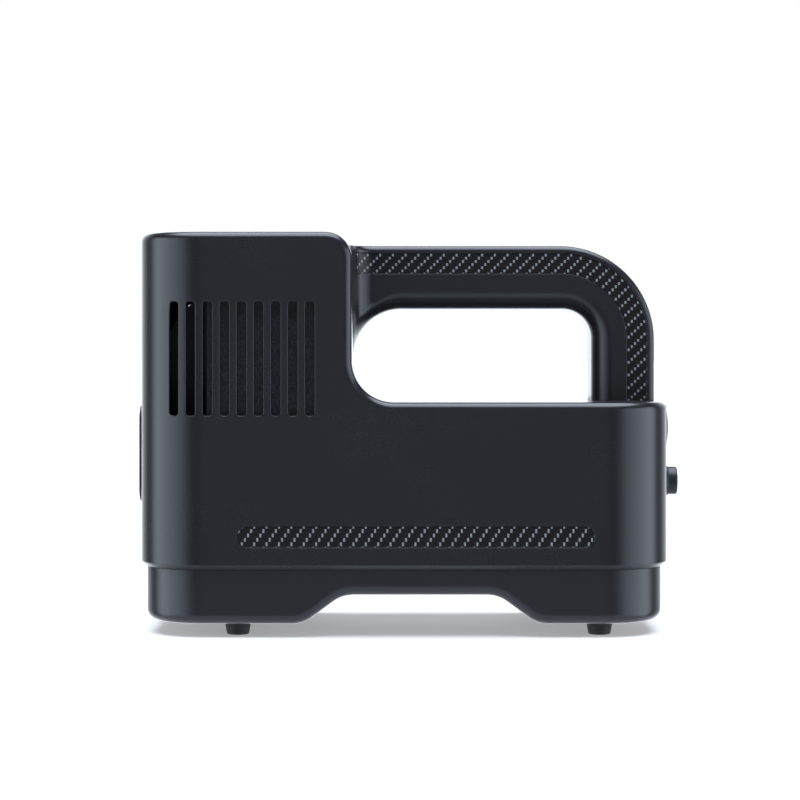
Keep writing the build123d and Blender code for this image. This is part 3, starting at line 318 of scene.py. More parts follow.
def roundLoop(width, height, radius, grow=0.0, turns=6, sides=(1, 1)):
    # Rounded rectangle round its own middle, moved outwards by grow, with points along its sides too.
    w, h, r = width / 2 + grow, height / 2 + grow, radius + grow
    points = []
    for turn, (sx, sz) in enumerate([(1, 1), (-1, 1), (-1, -1), (1, -1)]):
        a = np.linspace(turn * 90, turn * 90 + 90, turns + 1) * np.pi / 180
        arc = np.stack([sx * (w - r) + r * np.cos(a), sz * (h - r) + r * np.sin(a)], -1)
        points.append(arc)
        count = sides[0] if turn % 2 == 0 else sides[1]
        nx, nz = [(-1, 1), (-1, -1), (1, -1), (1, 1)][turn]
        last = np.array([nx * (w - r), nz * h]) if turn % 2 == 0 else np.array([nx * w, nz * (h - r)])
        step = np.linspace(0, 1, count + 1)[1:-1, None]
        points.append(arc[-1] + (last - arc[-1]) * step)
    loop = np.vstack(points)
    keep = np.linalg.norm(loop - np.roll(loop, 1, 0), axis=1) > 1e-6
    return loop[keep]


def circleLoop(radius, count=32):
    a = np.arange(count) * 2 * np.pi / count
    return radius * np.stack([np.cos(a), np.sin(a)], -1)


def edgeTurn(radius, count=4):
    # Quarter round at an edge: how far out along the face, and how deep, from face to wall.
    a = np.linspace(0, np.pi / 2, count)
    return np.stack([radius - radius * np.sin(a), radius - radius * np.cos(a)], -1)


# Walled forms: upright walls that follow a plan outline with round corners, and a face above or below
# them that follows a path seen from the front. A round edge joins the two.

def arcPath(centre, radius, start, end, count, hollow=False):
    # Points and outward directions on an arc, its angles in degrees; a hollow arc faces its centre.
    a = np.radians(np.linspace(start, end, count))
    out = np.stack([np.cos(a), np.sin(a)], -1)
    return np.asarray(centre) + radius * out, -out if hollow else out


def runPath(start, end, out, step=4.0):
    # Points on a straight run, with one outward direction.
    count = max(2, int(np.hypot(end[0] - start[0], end[1] - start[1]) / step) + 1)
    points = np.linspace(start, end, count)
    return points, np.tile(np.array(out, float), (count, 1))


def joinPath(*runs):
    points = np.vstack([run[0] for run in runs])
    out = np.vstack([run[1] for run in runs])
    keep = np.append(True, np.linalg.norm(np.diff(points, axis=0), axis=1) > 1e-6)
    return points[keep], out[keep]


class WalledForm:
    # Front half of a form. u is the length along the plan outline from the middle of the left end.

    def __init__(self, left, right, half, radius, path, ends=9, turns=31):
        self.left, self.right, self.half, self.radius = left, right, half, radius
        self.path, self.out = path
        self.side = half - radius
        bend = radius * np.pi / 2
        self.marks = np.cumsum([self.side, bend, right - left - 2 * radius, bend, self.side])
        self.ends, self.turns = ends, turns

    def plan(self, u, inset=0.0):
        # Place and outward direction on the outline, moved inwards by inset: a straight end, a quarter
        # circle, the front, a quarter circle and the other end.
        u, r = np.asarray(u, float), self.radius - inset
        m, side = self.marks, self.side
        a, b = (u - m[0]) / self.radius, (u - m[2]) / self.radius
        where = [u < m[0], u < m[1], u < m[2], u < m[3]]
        one, none = np.ones_like(u), np.zeros_like(u)
        x = np.select(where, [self.left + inset + none, self.left + self.radius - r * np.cos(a),
                              self.left + self.radius + u - m[1], self.right - self.radius + r * np.sin(b)],
                      self.right - inset)
        y = np.select(where, [-u, -side - r * np.sin(a), inset - self.half + none, -side - r * np.cos(b)],
                      u - m[4])
        nx = np.select(where, [-one, -np.cos(a), none, np.sin(b)], one)
        ny = np.select(where, [none, -np.sin(a), -one, -np.cos(b)], none)
        return np.stack([x, y], -1), np.stack([nx, ny], -1)

    def along(self, x, inset=0.0):
        # Length u of the wall point in front of x.
        x, r = np.asarray(x, float), self.radius - inset
        a = np.arccos(np.clip((self.left + self.radius - x) / r, -1, 1))
        b = np.arcsin(np.clip((x - self.right + self.radius) / r, -1, 1))
        return np.select([x < self.left + self.radius, x < self.right - self.radius],
                         [self.marks[0] + self.radius * a, self.marks[1] + x - self.left - self.radius],
                         self.marks[2] + self.radius * b)

    def onWall(self, flat, depth=0.0, inset=0.0):
        # Points of the wall in front of X and Z pairs, sunk by a depth towards the rear.
        place = self.plan(self.along(flat[:, 0], inset), inset)[0]
        return np.stack([flat[:, 0], place[:, 1] + depth, flat[:, 1]], -1)

    def edge(self, inset, crown, gap):
        # Middle line of the round edge, its directions towards the face and the wall, and u.
        k = inset + crown
        last = self.marks[4]
        straight = np.linspace(gap, self.marks[0], self.ends)
        leftU = np.append(straight, np.linspace(*self.marks[:2], self.turns)[1:])
        rightU = last - leftU[::-1]
        core = self.path - k * self.out
        parts = []
        for u, n in ((leftU, 0), (rightU, -1)):
            place, out = self.plan(u, k)
            middle = np.column_stack([place, np.full(len(u), core[n, 1])])
            up = np.tile([0, 0, self.out[n, 1]], (len(u), 1))
            parts.append((middle, up, np.column_stack([out, np.zeros(len(u))]), u))
        n = len(core)
        front = (np.column_stack([core[:, 0], np.full(n, k - self.half), core[:, 1]]),
                 np.column_stack([self.out[:, 0], np.zeros(n), self.out[:, 1]]),
                 np.tile([0, -1.0, 0], (n, 1)), self.along(core[:, 0]))
        inner = [array[1:-1] for array in front]
        return [np.concatenate([a, b, c]) for a, b, c in zip(parts[0], inner, parts[1])]

    def rounding(self, inset, crown, gap, count=8):
        middle, up, out, _ = self.edge(inset, crown, gap)
        a = np.linspace(0, np.pi / 2, count)[:, None, None]
        return middle + crown * (np.cos(a) * up + np.sin(a) * out)

    def endSide(self, gap, start, top, notches):
        # Edge of the wall at the middle plane, from start to top, round the half holes there.
        runs, z = [], start
        for height, radius in sorted(notches, key=lambda notch: abs(notch[0] - start)):
            lean = math.asin(min(1, gap / radius))
            a = np.linspace(lean, np.pi - lean, 17)
            arc = np.stack([radius * np.sin(a), height - np.sign(top - start) * radius * np.cos(a)], -1)
            runs += [np.stack([np.full(6, gap), np.linspace(z, arc[0, 1], 6)], -1)[:-1], arc]
            z = arc[-1, 1]
        runs.append(np.stack([np.full(8, gap), np.linspace(z, top, 8)], -1)[1 if notches else 0:])
        return np.vstack(runs)

    def wallOutline(self, inset, crown, gap, start, notches):
        # Outline of the unrolled wall: left side, edge of the face, right side, bottom.
        middle, _, _, u = self.edge(inset, crown, gap)
        left = self.endSide(gap, start, middle[0, 2], notches[0])
        right = self.endSide(gap, start, middle[-1, 2], notches[1])
        right[:, 0] = self.marks[4] - right[:, 0]
        low = self.edgeSteps(gap)[::-1]
        low = np.stack([low, np.full(len(low), start)], -1)
        return left, np.stack([u, middle[:, 2]], -1), right[::-1], low

    def edgeSteps(self, gap):
        # u of the points along the far edge of the wall.
        m = self.marks
        leftU = np.append(np.linspace(gap, m[0], self.ends), np.linspace(m[0], m[1], self.turns)[1:])
        middle = np.linspace(m[1], m[2], 40)[1:-1]
        return np.concatenate([leftU, middle, m[4] - leftU[::-1]])

    def unrolled(self, flat, inset):
        place = self.plan(flat[:, 0], inset)[0]
        return np.column_stack([place, flat[:, 1]])

    def wall(self, skin, inset, crown, gap, start, holes=(), notches=((), ())):
        # Wall with holes, whose loops are X and Z pairs.
        left, top, right, low = self.wallOutline(inset, crown, gap, start, notches)
        outline = np.vstack([left[:-1], top[:-1], right[:-1], low[:-1]])
        loops = [np.column_stack([self.along(loop[:, 0], inset), loop[:, 1]]) for loop in holes]
        m = self.marks
        columns = np.concatenate([np.linspace(gap, m[0], 6)[1:], np.linspace(m[0], m[1], self.turns)[1:],
                                  np.arange(m[1] + 3.5, m[2], 3.5), np.linspace(m[2], m[3], self.turns)[1:],
                                  np.linspace(m[3], m[4], 6)[1:-1]])
        levels = np.arange(min(outline[:, 1]) + 2.0, max(outline[:, 1]), 3.2)
        flat, faces = fillRegion(outline, loops, (columns, levels))
        skin.add(self.unrolled(flat, inset), faces)

    def face(self, skin, inset, crown, gap, holes=()):
        # Face that follows the path, unrolled to its length and Y; its holes are X and Y pairs.
        middle, up, _, _ = self.edge(inset, crown, gap)
        rim = middle + crown * up
        first, last = self.ends - 1, len(rim) - self.ends
        run = rim[first:last + 1]
        length = np.append(0, np.cumsum(np.linalg.norm(np.diff(run[:, [0, 2]], axis=0), axis=1)))
        lengths = np.concatenate([np.zeros(first), length, np.full(self.ends - 1, length[-1])])
        outline = np.vstack([np.stack([lengths, rim[:, 1]], -1),
                             np.stack([length[::-1], np.full(len(length), -gap)], -1)[1:-1]])
        loops = [np.stack([np.interp(loop[:, 0], run[:, 0], length), loop[:, 1]], -1) for loop in holes]
        columns = length[np.append(True, np.diff(length) > 1e-9)]
        flat, faces = fillRegion(outline, loops, (columns, np.arange(-self.half, 0, 3.3)), 0.3)
        skin.add(np.stack([np.interp(flat[:, 0], length, run[:, 0]), flat[:, 1],
                           np.interp(flat[:, 0], length, run[:, 2])], -1), faces)

    def rimLoop(self, inset, crown, gap, start, notches=((), ())):
        # The whole open edge of the half form as one loop: side, round edge, face, round edge, side,
        # far edge.
        left, _, right, low = self.wallOutline(inset, crown, gap, start, notches)
        round_ = self.rounding(inset, crown, gap)
        face = round_[0, self.ends - 1:len(round_[0]) - self.ends + 1].copy()
        face[:, 1] = -gap
        return np.vstack([self.unrolled(left, inset)[:-1], round_[::-1, 0][:-1], face[:-1],
                          round_[:-1, -1], self.unrolled(right, inset)[:-1], self.unrolled(low, inset)[:-1]])


# Finishes. Tones are linear; grain and fleck sizes are in mm.

def bumped(finish, height, depth):
    return finish.node("Bump", None, {"Height": height, "Strength": 1.0, "Distance": depth * mm})


def moulded(name, tone, rough=0.25, grain=0.35, depth=0.012, drift=0.16, sheen=0.5, tint=(0.85, 0.92, 1.0)):
    # Moulded plastic: fine spark-eroded grain, slow drift in tone and gloss, faint flow marks.
    def build(f):
        at = f.place()
        slow = f.noise(at, 28.0, 4, 0.55)
        fine = f.noise(at, 1000 / grain, 2, 0.6)
        flow = f.noise(f.scaled(at, (18, 18, 90)), 1.0, 3, 0.6)
        colour = f.blend(slow * 0.7 + fine * 0.3, tuple(t * (1 - drift) for t in tone),
                         tuple(t * (1 + drift) for t in tone))
        gloss = rough - 0.035 + slow * 0.05 + flow * 0.03 + fine * 0.02
        pits = f.node("TexVoronoi", {"feature": "F1"}, {"Vector": at, "Scale": 1000 / (grain * 1.6)})
        return {"Base Color": colour, "Roughness": gloss, "Normal": bumped(f, fine * 0.6 + pits * 0.4, depth)}
    return newMaterial(name, build, Specular_IOR_Level=sheen, Specular_Tint=tint, Metallic=0.0)


def metal(name, tone, rough=0.3, scratch=(60, 60, 60), depth=0.004, drift=0.1):
    # Metal with fine drawn or turned lines, and slightly dull patches.
    def build(f):
        at = f.place()
        lines = f.noise(f.scaled(at, scratch), 12.0, 4, 0.65)
        dull = f.noise(at, 160.0, 3, 0.5)
        colour = f.blend(dull, tuple(t * (1 - drift) for t in tone),
                         tuple(min(1, t * (1 + drift)) for t in tone))
        return {"Base Color": colour, "Roughness": rough - 0.06 + lines * 0.1 + dull * 0.06,
                "Normal": bumped(f, lines, depth)}
    return newMaterial(name, build, Metallic=1.0)


def rubber(name, tone, rough=0.62):
    # Soft rubber: matt, with a dusty bloom in patches.
    def build(f):
        at = f.place()
        bloom = f.noise(at, 90.0, 5, 0.6)
        fine = f.noise(at, 4200.0, 2, 0.5)
        colour = f.blend(f.ramp(bloom, [(0.42, 0.0), (0.72, 1.0)]), tone, tuple(t * 1.7 for t in tone))
        return {"Base Color": colour, "Roughness": rough + bloom * 0.12, "Normal": bumped(f, fine, 0.02)}
    return newMaterial(name, build, Specular_IOR_Level=0.4)


weave = dict(side=(1.065, 1.51), handle=(1.13, 1.12), width=0.30, height=0.44)


def woven(name, pattern, sizes):
    # Twill of black tows under clear resin. In each row, one cell in four is a crossing tow, whose highlight
    # is painted into the colour as a light bluish grey, and each row steps one cell further. The UV map is in
    # mm.
    def build(f):
        u, v, _ = f.parts(f.place("UV"))
        u, v = u / sizes[0], v / sizes[1]
        row = v.alone("FLOOR")
        cell = u.maths("FLOORED_MODULO", u - row, 4.0)
        across, up = (cell - 0.5).alone("ABSOLUTE"), (v - row - 0.5).alone("ABSOLUTE")
        soft = {"interpolation_type": "SMOOTHSTEP"}
        inX = f.node("MapRange", soft, {"Value": across, "From Min": pattern["width"] + 0.09,
                                        "From Max": pattern["width"] - 0.09})
        inZ = f.node("MapRange", soft, {"Value": up, "From Min": pattern["height"] + 0.06,
                                        "From Max": pattern["height"] - 0.10})
        tow = inX * inZ
        fibreUp = f.noise(f.scaled(f.place("UV"), (9.0, 0.8, 1)), 1.0, 3, 0.6)
        fibreAcross = f.noise(f.scaled(f.place("UV"), (0.8, 9.0, 1)), 1.0, 3, 0.6)
        change = f.noise(f.place("UV"), 0.35, 3, 0.6)
        # painted highlight: the crossing tows' sheen is set as a lighter base colour, and the floats stay
        # near black
        bright = tow * (0.55 + fibreUp * 0.5 + change * 0.35)
        floatTone = f.blend(fibreAcross, (0.0035, 0.0035, 0.0042), (0.0085, 0.0083, 0.0092))
        colour = f.blend(bright, floatTone, (0.19, 0.205, 0.24))
        crown = (1.0 - up * up * 3.2) * 0.5 + tow * 0.4
        crown += fibreAcross * (1.0 - tow) * 0.12 + fibreUp * tow * 0.12
        return {"Base Color": colour, "Roughness": 0.30 + fibreAcross * 0.12 - tow * 0.04,
                "Normal": bumped(f, crown, 0.03)}
    return newMaterial(name, build, Specular_IOR_Level=0.32)


def foam():
    # Open-cell foam behind the air slots, with painted shade: its pores are darker in colour than the cell
    # walls round them.
    def build(f):
        at = f.place()
        cells = f.node("TexVoronoi", {"feature": "F1"}, {"Vector": at, "Scale": 1500.0})
        slow = f.noise(at, 130.0, 4, 0.6)
        # painted shade: darker colour in the pore hollows, lighter on the cell walls
        depth = f.ramp(cells, [(0.1, 0.0), (0.75, 1.0)])
        colour = f.blend(depth, (0.004, 0.0045, 0.0055), (0.018, 0.02, 0.025))
        return {"Base Color": colour, "Roughness": 0.78 + slow * 0.15, "Normal": bumped(f, cells, 0.12)}
    return newMaterial("screen_foam", build, Specular_IOR_Level=0.3)


def lacquered(name, tone, line, pitch, rough=0.35, metallic=0.0):
    # Wound or stacked work: fine parallel lines round the blower's axis.
    def build(f):
        at = f.place()
        bands = (f.parts(at)[1] * (2000 * math.pi / pitch)).alone("SINE") * 0.5 + 0.5
        patch = f.noise(at, 260.0, 3, 0.5)
        return {"Base Color": f.blend(bands * (0.6 + patch * 0.4), line, tone),
                "Roughness": rough + patch * 0.1, "Normal": bumped(f, bands, 0.05)}
    return newMaterial(name, build, Metallic=metallic)


def circuitBoard():
    # Solder mask over a grid of copper tracks, with tinned pads.
    def build(f):
        at = f.place()
        tracks = f.node("TexBrick", {"offset": 0.37, "squash": 1.0},
                        {"Vector": f.scaled(at, (260,) * 3), "Color1": (0.0,) * 3, "Color2": (0.12,) * 3,
                         "Mortar": (1.0,) * 3, "Scale": 1.0, "Mortar Size": 0.06, "Mortar Smooth": 0.3})
        bright = f.node("RGBToBW", None, {0: tracks})
        dots = f.node("TexVoronoi", {"feature": "F1"}, {"Vector": at, "Scale": 330.0, "Randomness": 0.7})
        pads = f.ramp(dots, [(0.16, 1.0), (0.2, 0.0)])
        mask = f.blend(bright * 0.8, (0.006, 0.05, 0.022), (0.014, 0.105, 0.045))
        return {"Base Color": f.blend(pads, mask, (0.62, 0.6, 0.56)), "Roughness": 0.3 + bright * 0.08,
                "Metallic": f.node("RGBToBW", None, {0: pads}),
                "Normal": bumped(f, bright * 0.5 + f.node("RGBToBW", None, {0: pads}) * 0.5, 0.03)}
    return newMaterial("circuit_board", build)


def cellWrap():
    # Shrink film over a cell: glossy, with slight waves and a darker overlap.
    def build(f):
        at = f.place()
        waves = f.noise(f.scaled(at, (40, 220, 220)), 1.0, 3, 0.5)
        lap = f.ramp((f.parts(at)[2] * 61.0).alone("FRACT"),
                     [(0.0, 0.75), (0.06, 1.0), (0.94, 1.0), (1.0, 0.75)])
        tone = f.times((0.02, 0.11, 0.33), lap)
        return {"Base Color": tone, "Roughness": 0.2 + waves * 0.12, "Normal": bumped(f, waves, 0.08)}
    return newMaterial("cell_wrap", build, Coat_Weight=0.3)


caseTone = (0.0108, 0.0100, 0.0124)
finishes = {
    "case_plastic": moulded("case_plastic", caseTone),
    "handle_plastic": moulded("handle_plastic", caseTone, rough=0.27),
    "base_plastic": moulded("base_plastic", tuple(tone * 1.35 for tone in caseTone), rough=0.27),
    "button_plastic": moulded("button_plastic", (0.012, 0.013, 0.016), rough=0.42),
    "outlet_plastic": moulded("outlet_plastic", (0.012, 0.013, 0.016), rough=0.4),
    "blower_plastic": moulded("blower_plastic", (0.03, 0.031, 0.033), rough=0.5, depth=0.02),
    "impeller_plastic": moulded("impeller_plastic", (0.55, 0.55, 0.52), rough=0.4, tint=(1, 1, 1)),
    "pack_plastic": moulded("pack_plastic", (0.07, 0.072, 0.076), rough=0.5, depth=0.02),
    "socket_nylon": moulded("socket_nylon", (0.7, 0.68, 0.6), rough=0.45, tint=(1, 1, 1)),
    "chip_black": moulded("chip_black", (0.016, 0.016, 0.017), rough=0.5, grain=0.2),
    "lead_sleeve": moulded("lead_sleeve", (0.42, 0.02, 0.015), rough=0.38, grain=0.5, tint=(1, 1, 1)),
    "rotor_paint": moulded("rotor_paint", (0.02, 0.021, 0.024), rough=0.28, grain=0.5),
    "dark_rubber": rubber("dark_rubber", (0.011, 0.0115, 0.013)),
    "screw_steel": metal("screw_steel", (0.52, 0.52, 0.53), 0.34, (300, 300, 40)),
    "machined_steel": metal("machined_steel", (0.62, 0.62, 0.63), 0.24, (30, 900, 30)),
    "socket_steel": metal("socket_steel", (0.6, 0.6, 0.61), 0.26, (700, 60, 60)),
    "motor_aluminium": metal("motor_aluminium", (0.74, 0.75, 0.77), 0.34, (30, 600, 30)),
    "heat_sink_metal": metal("heat_sink_metal", (0.7, 0.71, 0.73), 0.38, (600, 40, 600)),
    "magnet": metal("magnet", (0.36, 0.36, 0.38), 0.42, (200, 200, 200), 0.01),
    "nickel": metal("nickel", (0.66, 0.63, 0.57), 0.3, (40, 500, 40)),
    "capacitor_can": metal("capacitor_can", (0.7, 0.71, 0.73), 0.3, (40, 40, 700)),
    "lamination": lacquered("lamination", (0.3, 0.3, 0.31), (0.05, 0.05, 0.055), 0.5, 0.45, 0.8),
    "copper_wire": lacquered("copper_wire", (0.62, 0.24, 0.09), (0.16, 0.05, 0.015), 0.9, 0.28, 0.9),
    "screen_foam": foam(),
    "circuit_board": circuitBoard(),
    "cell_wrap": cellWrap(),
    "weave_strip": woven("weave_strip", weave, weave["side"]),
}
handleWeave = woven("handle_weave", weave, weave["handle"])
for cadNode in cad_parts.values():
    for place, old in enumerate(cadNode.data.materials):
        cadNode.data.materials[place] = finishes[old.name.split(".")[0]]
print("finishes ready")


# Case: two half shells with air slots, a strip recess each, and round edges.

case = dict(wall=2.4, planRadius=23.5, edge=2.9, insideEdge=0.4, towerRadius=9.3, footRadius=14.5,
            slots=9, firstSlot=13.1, slotPitch=5.875, slotSize=(3.2, 39.3), slotCorner=1.1, slotMiddle=96.25,
            slotEdge=0.32, stripEdge=0.22, stripDepth=0.8, gap=0.2, bevel=1.8,
            outlet=(62.4, 12.1), button=(52.0, 6.0), socket=(71.4, 5.7),
            screwHoles=((19.3, 123.4), (12.0, 36.0), (63.93, 58.71), (82.5, 70.2), (157.8, 66.2),
                        (53.55, 125.02), (175.5, 36.0)), holeRadius=3.1, bossRadius=4.6, seat=9.0)
seam, top = caseLow[2], caseHigh[2]
deck = 81.2
towerRight = caseLow[0] + 74.5
leftTurn, rightTurn = caseLow[0] + case["planRadius"], caseHigh[0] - case["planRadius"]
stripLow, stripHigh = corner("front_side_strip", 0), corner("front_side_strip", 1)
stripMiddle = np.array([(stripLow[0] + stripHigh[0]) / 2, (stripLow[2] + stripHigh[2]) / 2])
stripSize = np.array([stripHigh[0] - stripLow[0], stripHigh[2] - stripLow[2]]) + 0.2


def casePath():
    r, f = case["towerRadius"], case["footRadius"]
    return joinPath(
        runPath((leftTurn, top), (towerRight - r, top), (0, 1)),
        arcPath((towerRight - r, top - r), r, 90, 0, 19),
        runPath((towerRight, top - r), (towerRight, deck + f), (1, 0), 2.5),
        arcPath((towerRight + f, deck + f), f, 180, 270, 27, hollow=True),
        runPath((towerRight + f, deck), (rightTurn, deck), (0, 1)))


def carvedHole(skin, form, loopAt, turn, endings):
    # Edge round and walls of a hole: loops that follow its outline while they sink.
    loops = [form.onWall(loopAt(grow), depth) for grow, depth in turn]
    skin.grid(np.stack(loops + endings), loop=True)
    return loopAt(turn[0, 0])


def makeShell(name, node, rear):
    form = WalledForm(caseLow[0], caseHigh[0], -caseLow[1], case["planRadius"], casePath())
    skin, wall, start = Skin(), case["wall"], seam + case["bevel"]
    notches = ([case["outlet"]], [case["button"], case["socket"]])
    turn = edgeTurn(case["slotEdge"])
    outerHoles, innerHoles = [], []
    for number in range(case["slots"]):
        middle = np.array([caseLow[0] + case["firstSlot"] + number * case["slotPitch"], case["slotMiddle"]])
        def loopAt(grow):
            return middle + roundLoop(*case["slotSize"], case["slotCorner"], grow, 5, (1, 14))
        inner = loopAt(0)
        outerHoles.append(carvedHole(skin, form, loopAt, turn, [form.onWall(inner, inset=wall)]))
        innerHoles.append(inner)

    # recess for the strip
    def stripLoop(grow):
        return stripMiddle + roundLoop(*stripSize, stripSize[1] / 2, grow, 12, (40, 1))
    outline = stripLoop(0)
    outerHoles.append(carvedHole(skin, form, stripLoop, edgeTurn(case["stripEdge"]),
                                 [form.onWall(outline, case["stripDepth"])]))
    flat, faces = fillRegion(outline, (), (np.arange(stripLow[0], stripHigh[0], 4), [stripMiddle[1]]))
    skin.add(form.onWall(flat, case["stripDepth"]), faces)

    # the rear half has sunk holes with a boss round each
    for along, height in case["screwHoles"] if rear else ():
        centre = np.array([caseLow[0] + along, height])
        def holeAt(grow):
            return centre + circleLoop(case["holeRadius"] + grow)
        hole, boss = holeAt(0), centre + circleLoop(case["bossRadius"])
        atDepth = [np.column_stack([loop[:, 0], np.full(len(loop), -y), loop[:, 1]])
                   for loop, y in ((hole, case["seat"]), (boss, case["seat"] - 2))]
        outerHoles.append(carvedHole(skin, form, holeAt, turn, [atDepth[0]]))
        skin.fan(atDepth[0])
        skin.grid(np.stack([form.onWall(boss, inset=wall), atDepth[1]]), loop=True)
        skin.fan(atDepth[1])
        innerHoles.append(boss)

    gap, inside = case["gap"], case["insideEdge"]
    form.wall(skin, 0, case["edge"], gap, start, outerHoles, notches)
    skin.grid(form.rounding(0, case["edge"], gap))
    form.face(skin, 0, case["edge"], gap)
    form.wall(skin, wall, inside, 0.02, seam + 0.03, innerHoles, notches)
    skin.grid(form.rounding(wall, inside, 0.02))
    form.face(skin, wall, inside, 0.02)
    bevel, soft = case["bevel"], 0.12
    rims = [(0, gap, start), (soft / 2, gap, start - soft), (bevel - soft, gap, seam + soft),
            (bevel + soft, 0.07, seam + 0.03), (bevel + 2 * soft, 0.02, seam + 0.03),
            (wall, 0.02, seam + 0.03)]
    skin.grid(np.stack([form.rimLoop(inset, max(case["edge"] - inset, inside), side, low, notches)
                        for inset, side, low in rims]), loop=True)
    return skin.piece(name, "case_plastic", "case", node, flip=rear)


makeShell("shell_front", "front_shell", False)
makeShell("shell_rear", "rear_shell", True)
print("case ready")


# Base tray: follows the arch below, with a wide round edge.

base = dict(inset=2.0, edge=4.0, wall=2.4, insideEdge=1.6, lip=0.2, arch=(57.4, 138.7),
            slope=13.8, rise=10.0, turn=12.0, screws=(47.0, 150.0), screwReach=30.1, hole=3.1, seat=18.0,
            boss=4.6)
baseLow = corner("base_tray", 0)


def basePath():
    # Flat, round the foot of the slope, up it, round its top, along the arch, and the same back down.
    low, r, slope = baseLow[2], base["turn"], base["slope"]
    high, angle = low + base["rise"], math.atan2(base["rise"], slope)
    cut, lean = r * math.tan(angle / 2), math.degrees(angle)
    footLeft, footRight = (caseLow[0] + along for along in base["arch"])
    middle = (footLeft + footRight) / 2

    def halfPath(end, foot, sign):
        head = foot + sign * slope
        step = np.array([sign * math.cos(angle), math.sin(angle)]) * cut
        return [runPath((end, low), (foot - sign * cut, low), (0, -1)),
                arcPath((foot - sign * cut, low + r), r, -90, -90 + sign * lean, 12),
                runPath(np.array([foot, low]) + step, np.array([head, high]) - step,
                        (sign * math.sin(angle), -math.cos(angle)), 1.5),
                arcPath((head + sign * cut, high - r), r, 90 + sign * lean, 90, 12, hollow=True),
                runPath((head + sign * cut, high), (middle, high), (0, -1))]
    right = [(points[::-1], out[::-1]) for points, out in halfPath(rightTurn, footRight, -1)[::-1]]
    return joinPath(*halfPath(leftTurn, footLeft, 1), *right)


def makeBase():
    skin = Skin()
    inset, wall = base["inset"], base["wall"]
    form = WalledForm(caseLow[0] + inset, caseHigh[0] - inset, -caseLow[1] - inset,
                      case["planRadius"] - inset, basePath())
    lip = base["lip"]
    # sunk screw holes, as X and Y
    turn, holes, bosses = edgeTurn(0.4), [], []
    for along in base["screws"]:
        centre = np.array([caseLow[0] + along, -base["screwReach"]])
        loops = [np.column_stack([centre + circleLoop(base["hole"] + grow), np.full(32, baseLow[2] + depth)])
                 for grow, depth in turn]
        bottom = np.column_stack([centre + circleLoop(base["hole"]), np.full(32, base["seat"])])
        skin.grid(np.stack(loops + [bottom]), loop=True).fan(bottom)
        holes.append(loops[0][:, :2])
        boss = centre + circleLoop(base["boss"])
        rings = [np.column_stack([boss, np.full(32, z)]) for z in (baseLow[2] + wall, base["seat"] + 2)]
        skin.grid(np.stack(rings), loop=True).fan(rings[1])
        bosses.append(boss)
    form.wall(skin, 0, base["edge"], 0, seam - lip)
    skin.grid(form.rounding(0, base["edge"], 0, 12))
    form.face(skin, 0, base["edge"], 0, holes)
    form.wall(skin, wall, base["insideEdge"], 0, seam)
    skin.grid(form.rounding(wall, base["insideEdge"], 0, 5))
    form.face(skin, wall, base["insideEdge"], 0, bosses)
    u = form.edgeSteps(0)
    levels = [(0, seam - lip), (lip * 0.3, seam - lip * 0.3), (lip, seam), (wall, seam)]
    skin.grid(np.stack([form.unrolled(np.stack([u, np.full(len(u), z)], -1), k) for k, z in levels]))
    return skin.mirrored().piece("base", "base_plastic", "case", "base_tray", sharp=40)


makeBase()
print("base ready")


# Feet: turned rubber studs with a bead at the top.

foot = dict(profile=((0, 0), (3.3, 0), (3.62, 0.07), (3.85, 0.28), (3.95, 0.6), (4.42, 3.3), (4.46, 3.65),
                     (4.55, 3.82), (4.85, 3.95), (4.98, 4.15), (5.0, 4.38), (4.96, 4.5), (2.5, 4.5),
                     (2.5, 8.9), (2.4, 9.0), (0, 9.0)), flange=5.0, turns=56)


def turned(skin, profile, centre, axis, turns=48):
    # Profile of radius and height pairs carried round an axis through centre.
    profile = np.asarray(profile, float)
    a = np.arange(turns) * 2 * np.pi / turns
    axis = np.asarray(axis, float)
    side = np.cross(axis, (0, 0, 1.0)) if abs(axis[2]) < 0.9 else np.array([1.0, 0, 0])
    side /= np.linalg.norm(side)
    other = np.cross(axis, side)
    ring = np.cos(a)[:, None] * side + np.sin(a)[:, None] * other
    points = (np.asarray(centre) + profile[:, None, :1] * ring + profile[:, None, 1:] * axis)
    return skin.grid(points, loop=True)


feetLow, feetHigh = corner("feet", 0), corner("feet", 1)
skin = Skin()
for x in (feetLow[0] + foot["flange"], feetHigh[0] - foot["flange"]):
    for y in (feetLow[1] + foot["flange"], feetHigh[1] - foot["flange"]):
        turned(skin, foot["profile"], (x, y, 0), (0, 0, 1), foot["turns"])
skin.piece("rubber_feet", "dark_rubber", "case", "feet", sharp=50)
print("feet ready")


# Handle: a rounded section carried from the tower, round the bend and down to the deck. n runs from the
# outer edge of the handle inwards, h from the middle plane outwards.

grip = dict(top=136.0, under=113.6, legIn=64.55, legOut=86.6, outerBend=33.4, innerBend=10.4, half=15.0,
            flare=17.0, planFlare=8.0, edge=2.3, gripEdge=7.6, stripFrom=2.5, stripTo=9.9, stripDepth=0.8,
            stripEdge=0.22, stripStart=1.2, bury=0.35, gap=0.2)


